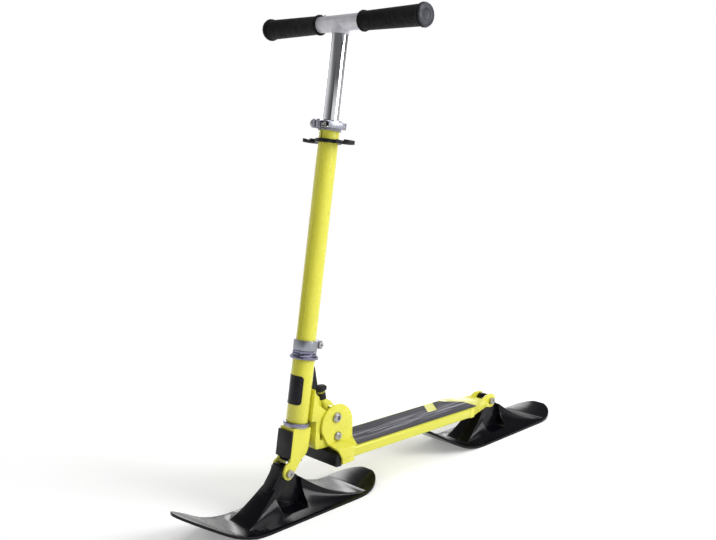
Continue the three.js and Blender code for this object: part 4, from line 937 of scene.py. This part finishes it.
class SCOOTER_OT_deck(ScooterOperator, bpy.types.Operator):
    """Finish the deck extrusion, its grip tape and its moulded nose."""

    bl_idname = "scooter.deck"
    bl_label = "Deck and tape"

    def execute(self, context):
        coat = coated_extrusion("coated_extrusion", self.tint("deck_coat"))
        polish("deck", coat, self.sizes.small_round)
        tape = grit_tape("grit_tape", self.tint("tape_grey"), self.tint("tape_streak"))
        polish("grip_tape", tape, self.sizes.fine_round, shaped=self.slant_band)
        nylon = moulded_nylon("moulded_nylon_nose", self.tint("nylon_black"))
        polish("nose_cap", nylon, self.sizes.edge_round)
        return {"FINISHED"}

    def slant_band(self, tape):
        """Draws the inner end of the clear band across the tape forward, along the deck's slope."""
        low, high = (Vector(corner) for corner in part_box("grip_tape"))
        top = max(tape.data.polygons, key=lambda face: face.area).normal
        reach = self.sizes.band_slant
        rise = -reach * top.x / top.z

        def inner_end(centre, normal):
            inside = low.x + BAND_CLEAR < centre.x < high.x - BAND_CLEAR
            return inside and abs(centre.y) < BAND_END and abs(normal.z) < BAND_RISE

        select_where(tape, inner_end)
        if not tape.data.total_face_sel:
            raise RuntimeError("the end of the clear band in the tape wasn't found")
        bpy.ops.transform.translate(value=(reach, 0, rise))
        bpy.ops.object.mode_set(mode="OBJECT")


class SCOOTER_OT_plastics(ScooterOperator, bpy.types.Operator):
    """Finish the small nylon mouldings."""

    bl_idname = "scooter.plastics"
    bl_label = "Nylon mouldings"

    def execute(self, context):
        nylon = moulded_nylon("moulded_nylon", self.tint("nylon_black"))
        polish_all(NYLON, nylon, self.sizes.edge_round)
        caps = moulded_nylon("moulded_nylon_caps", self.tint("cap_black"))
        polish_all(("end_cap_left", "end_cap_right"), caps, self.sizes.edge_round)
        return {"FINISHED"}


class SCOOTER_OT_grips(ScooterOperator, bpy.types.Operator):
    """Finish the two rubber grips."""

    bl_idname = "scooter.grips"
    bl_label = "Grips"

    def execute(self, context):
        rubber = foamed_rubber("foamed_rubber", self.tint("rubber_black"))
        polish_all(("grip_left", "grip_right"), rubber, self.sizes.edge_round)
        return {"FINISHED"}


class SCOOTER_OT_bar(ScooterOperator, bpy.types.Operator):
    """Plate the tubes of the bar and satin its cast T-piece."""

    bl_idname = "scooter.bar"
    bl_label = "Bar"

    def execute(self, context):
        plate = plated_chrome("plated_chrome", self.tint("chrome_tint"))
        tubes = ("tbar_tube", "handle_tube_left", "handle_tube_right")
        polish_all(tubes, plate, self.sizes.fine_round)
        cast = cast_aluminium("cast_aluminium_head", self.tint("head_tint"), metallic=0.3)
        polish("tbar_head", cast, self.sizes.edge_round)
        return {"FINISHED"}


class SCOOTER_OT_collars(ScooterOperator, bpy.types.Operator):
    """Satin the cast collars and the height lever."""

    bl_idname = "scooter.collars"
    bl_label = "Collars and lever"

    def execute(self, context):
        cast = cast_aluminium("cast_aluminium", self.tint("cast_tint"))
        polish_all(("lower_collar", "top_collar", "top_lever"), cast, self.sizes.edge_round)
        return {"FINISHED"}


class SCOOTER_OT_hardware(ScooterOperator, bpy.types.Operator):
    """Finish the turned rings, springs, bolts, nuts and pins, and sink sockets in the bolt heads."""

    bl_idname = "scooter.hardware"
    bl_label = "Rings, bolts and nuts"

    def execute(self, context):
        turned = turned_steel("turned_steel", self.tint("turned_tint"))
        zinc = zinc_plated_steel("zinc_plated_steel", self.tint("zinc_tint"))
        brass = turned_steel("turned_brass", self.tint("brass_tint"))
        polish_all(TURNED, turned, self.sizes.fine_round)
        polish_all(BOLTS, zinc, self.sizes.small_round, sink_socket)
        polish_all(SMALL_ZINC, zinc, self.sizes.small_round)
        clothe_nodes(("latch_spring", "button_leaf_left", "button_leaf_right"), turned)
        clothe_nodes(("front_ski_sleeve", "rear_ski_sleeve", "lower_ball_ring", "upper_ball_ring"), zinc)
        clothe_nodes(("pivot_bush",), brass)
        return {"FINISHED"}


class SCOOTER_OT_ferrule(ScooterOperator, bpy.types.Operator):
    """Sleeve the upper half of the latch barrel in black nylon."""

    bl_idname = "scooter.ferrule"
    bl_label = "Latch ferrule"

    def execute(self, context):
        sizes = self.sizes
        axis = Vector(JOINTS["latch_pull"]["axis"]).normalized()
        low, high = (Vector(corner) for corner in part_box("latch_spring"))
        centre = (low + high) / 2 + axis * (BARREL_HALF - sizes.ferrule_length / 2)
        sleeve = add_primitive(
            "cylinder",
            "latch_ferrule",
            vertices=FERRULE_SIDES,
            radius=sizes.ferrule_radius,
            depth=sizes.ferrule_length,
            location=centre,
            rotation=turn_to(axis),
        )
        select_where(sleeve, lambda _, normal: abs(normal.dot(axis)) > FACING)
        bpy.ops.mesh.inset(thickness=sizes.ferrule_wall, depth=0)
        bpy.ops.mesh.delete(type="ONLY_FACE")
        bpy.ops.mesh.select_mode(type="EDGE")
        bpy.ops.mesh.select_all(action="DESELECT")
        bpy.ops.mesh.select_non_manifold()
        bpy.ops.mesh.bridge_edge_loops()
        turn_faces_out(sleeve)
        round_edges(sleeve, sizes.ferrule_wall * FERRULE_ROUND)
        place(sleeve, bpy.data.materials["moulded_nylon"], BODY_OF["head_tube"])
        return {"FINISHED"}


class SCOOTER_OT_welds(ScooterOperator, bpy.types.Operator):
    """Lay a painted weld bead up the rear edge of each side plate, on the deck's side."""

    bl_idname = "scooter.welds"
    bl_label = "Welds"

    def execute(self, context):
        paint = bpy.data.materials["powder_coated_steel"]
        _, deck_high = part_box("deck")
        plate_low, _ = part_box("side_plate_left")
        side = deck_high[1] + WELD_OUT
        start = Vector((PLATE_REAR, side, plate_low[2] + WELD_FOOT))
        end = Vector((PLATE_REAR, side, plate_low[2] + WELD_HEAD))
        left = bead("plate_weld_left", start, end, self.sizes)
        right = copy_of(left, "plate_weld_right")
        bpy.ops.transform.translate(value=(0, -2 * side, 0))
        bpy.ops.object.transform_apply(location=True, rotation=True, scale=True)
        for weld in (left, right):
            place(weld, paint, BODY_OF["deck"])
        return {"FINISHED"}


class SCOOTER_OT_badge(ScooterOperator, bpy.types.Operator):
    """Bend a bare enamelled plate round the front of the head tube."""

    bl_idname = "scooter.badge"
    bl_label = "Bare badge plate"

    def execute(self, context):
        plate = self.flat_plate()
        self.bend(plate)
        black = enamelled_plate("enamelled_plate", self.tint("badge_black"))
        place(plate, black, BODY_OF["head_tube"])
        return {"FINISHED"}

    def flat_plate(self):
        """The plate laid flat, with round corners, a raised rim and cuts to bend it at."""
        sizes = self.sizes
        thick = sizes.badge_thick
        plate = add_primitive("plane", "badge_plate", size=1)
        bpy.ops.object.mode_set(mode="EDIT")
        bpy.ops.mesh.select_all(action="SELECT")
        bpy.ops.transform.resize(value=(sizes.badge_width, sizes.badge_height, 1))
        bpy.ops.mesh.bevel(offset=sizes.badge_corner, segments=BADGE_CORNER_CUTS, affect="VERTICES")
        bpy.ops.mesh.select_all(action="SELECT")
        bpy.ops.mesh.inset(thickness=thick * BADGE_RIM, depth=0)
        bpy.ops.mesh.extrude_region_move(TRANSFORM_OT_translate={"value": (0, 0, -thick * BADGE_SUNK)})
        bpy.ops.mesh.select_all(action="SELECT")
        bpy.ops.mesh.inset(thickness=thick * BADGE_STEP, depth=0)
        for cut in range(1, BADGE_CUTS):
            x = sizes.badge_width * (cut / BADGE_CUTS - 0.5)
            bpy.ops.mesh.select_all(action="SELECT")
            bpy.ops.mesh.bisect(plane_co=(x, 0, 0), plane_no=(1, 0, 0))
        bpy.ops.object.mode_set(mode="OBJECT")
        apply_modifier(plate, "SOLIDIFY", thickness=thick, offset=-1)
        return plate

    def bend(self, plate):
        """Rolls the flat plate round the head tube's axis, facing forward."""
        sizes = self.sizes
        joint = JOINTS["steer"]
        axis = Vector(joint["axis"]).normalized()
        foot = Vector(joint["pos_m"]) + axis * TUBE_FOOT
        radius = TUBE_RADIUS + BADGE_GAP
        left = Vector((0, 1, 0))
        ahead = left.cross(axis).normalized()
        for vertex in plate.data.vertices:
            x, y, z = vertex.co
            outward = ahead * math.cos(x / radius) + left * math.sin(x / radius)
            rise = sizes.badge_foot + sizes.badge_height / 2 + y
            vertex.co = foot + axis * rise + outward * (radius + sizes.badge_thick + z)
        make_active(plate)
        bpy.ops.object.mode_set(mode="EDIT")
        bpy.ops.mesh.select_all(action="SELECT")
        bpy.ops.mesh.remove_doubles(threshold=MERGE)
        turn_faces_out(plate)
        bpy.ops.object.shade_smooth_by_angle(angle=math.radians(SHARP_BADGE))


class SCOOTER_OT_stage(ScooterOperator, bpy.types.Operator):
    """Set the pale floor, the soft lamps, the white world and the camera."""

    bl_idname = "scooter.stage"
    bl_label = "Studio"

    def execute(self, context):
        self.floor()
        self.lamps()
        self.world(context)
        self.camera(context)
        return {"FINISHED"}

    def floor(self):
        floor = add_primitive("plane", "studio_floor", size=2 * self.sizes.floor_half)
        bpy.ops.object.mode_set(mode="EDIT")
        bpy.ops.mesh.select_all(action="SELECT")
        bpy.ops.mesh.subdivide(number_cuts=FLOOR_CUTS)
        bpy.ops.object.mode_set(mode="OBJECT")
        clothe(floor, matt_floor("matt_floor", self.tint("floor_white")))

    def lamps(self):
        for name, place_at, target, width, height, power, mirrored in LAMPS:
            deselect()
            bpy.ops.object.light_add(type="AREA", location=place_at)
            lamp = bpy.context.object
            lamp.name = name
            lamp.data.shape = "RECTANGLE"
            lamp.data.size, lamp.data.size_y = width, height
            lamp.data.energy = power
            aim = Vector(target) - Vector(place_at)
            lamp.rotation_euler = aim.to_track_quat("-Z", "Y").to_euler()
            lamp.visible_camera = False
            lamp.visible_glossy = mirrored

    def world(self, context):
        """White to the camera, and to mirror rays a white room with dark flags and a darker ceiling."""
        world = bpy.data.worlds.new("white_studio")
        context.scene.world = world
        world.use_nodes = True
        made = wire(
            world.node_tree,
            (
                ("at", "TexCoord"),
                ("part", "SeparateXYZ", {"Vector": "at:Generated"}),
                ("turn", "Math", {0: "part:Y", 1: "part:X"}, {"operation": "ARCTAN2"}),
                ("round", "MapRange", {"Value": "turn", "From Min": -math.pi, "From Max": math.pi}),
                ("flags", "ValToRGB", {"Fac": "round"}),
                ("above", "Math", {0: "part:Z", 1: "flags:Alpha"}, {"operation": "SUBTRACT"}),
                ("high", "MapRange", {"Value": "above", "From Min": 0, "From Max": CEILING_FADE}),
                ("room", "Mix", {0: "high", 6: "flags:Color", 7: grey(CEILING_GREY)}, COLOURS),
                ("rays", "LightPath"),
                ("view", "Mix", {0: "rays:Is Camera Ray", 6: "room:2", 7: grey(1)}, COLOURS),
                ("first", "Math", {0: "rays:Is Camera Ray", 1: "rays:Is Glossy Ray"}, GREATER),
                ("seen", "Math", {0: "first", 1: "rays:Is Transmission Ray"}, GREATER),
                ("dim", "Background", {"Color": grey(1), "Strength": FILL}),
                ("bright", "Background", {"Color": "view:2", "Strength": 1.0}),
                ("both", "MixShader", {0: "seen", 1: "dim", 2: "bright"}),
                ("out", "OutputWorld", {"Surface": "both"}),
            ),
        )
        stops = made["flags"].color_ramp.elements
        for degrees, value, height in FLAGS:
            stops.new((degrees + 180) / 360).color = (value, value, value, height)
        stops.remove(stops[0])
        stops.remove(stops[-1])

    def camera(self, context):
        yaw, pitch = math.radians(CAMERA_YAW), math.radians(CAMERA_PITCH)
        ahead = Vector((math.cos(yaw) * math.cos(pitch), math.sin(yaw) * math.cos(pitch), math.sin(pitch)))
        roll = Matrix.Rotation(-CAMERA_ROLL_RADIANS, 3, "Z").to_quaternion()
        deselect()
        bpy.ops.object.camera_add(location=CAMERA_AT)
        camera = bpy.context.object
        camera.name = "photo_camera"
        camera.rotation_mode = "QUATERNION"
        camera.rotation_quaternion = ahead.to_track_quat("-Z", "Y") @ roll
        camera.data.sensor_width = CAMERA_SENSOR_MM
        camera.data.lens = CAMERA_LENS_MM
        camera.data.clip_start, camera.data.clip_end = CAMERA_CLIP
        context.scene.camera = camera
        context.scene.view_settings.view_transform = "Standard"


OPERATORS = (
    SCOOTER_OT_skis,
    SCOOTER_OT_frame,
    SCOOTER_OT_deck,
    SCOOTER_OT_plastics,
    SCOOTER_OT_grips,
    SCOOTER_OT_bar,
    SCOOTER_OT_collars,
    SCOOTER_OT_hardware,
    SCOOTER_OT_ferrule,
    SCOOTER_OT_welds,
    SCOOTER_OT_badge,
    SCOOTER_OT_stage,
)


class SCOOTER_PT_panel(bpy.types.Panel):
    """Lists the steps that dress the scooter."""

    bl_label = "Scooter"
    bl_idname = "SCOOTER_PT_panel"
    bl_space_type = "VIEW_3D"
    bl_region_type = "UI"
    bl_category = "Scooter"

    def draw(self, context):
        for step in OPERATORS:
            self.layout.operator(step.bl_idname)
        for group in (context.scene.scooter_sizes, context.scene.scooter_colours):
            for name in group.__annotations__:
                self.layout.prop(group, name)


CLASSES = (ScooterColours, ScooterSizes, *OPERATORS, SCOOTER_PT_panel)


def register():
    for item in CLASSES:
        bpy.utils.register_class(item)
    bpy.types.Scene.scooter_colours = PointerProperty(type=ScooterColours)
    bpy.types.Scene.scooter_sizes = PointerProperty(type=ScooterSizes)


def unregister():
    del bpy.types.Scene.scooter_colours
    del bpy.types.Scene.scooter_sizes
    for item in reversed(CLASSES):
        bpy.utils.unregister_class(item)


def main():
    register()
    for step in OPERATORS:
        group, name = step.bl_idname.split(".")
        getattr(getattr(bpy.ops, group), name)()


if __name__ == "__main__":
    main()
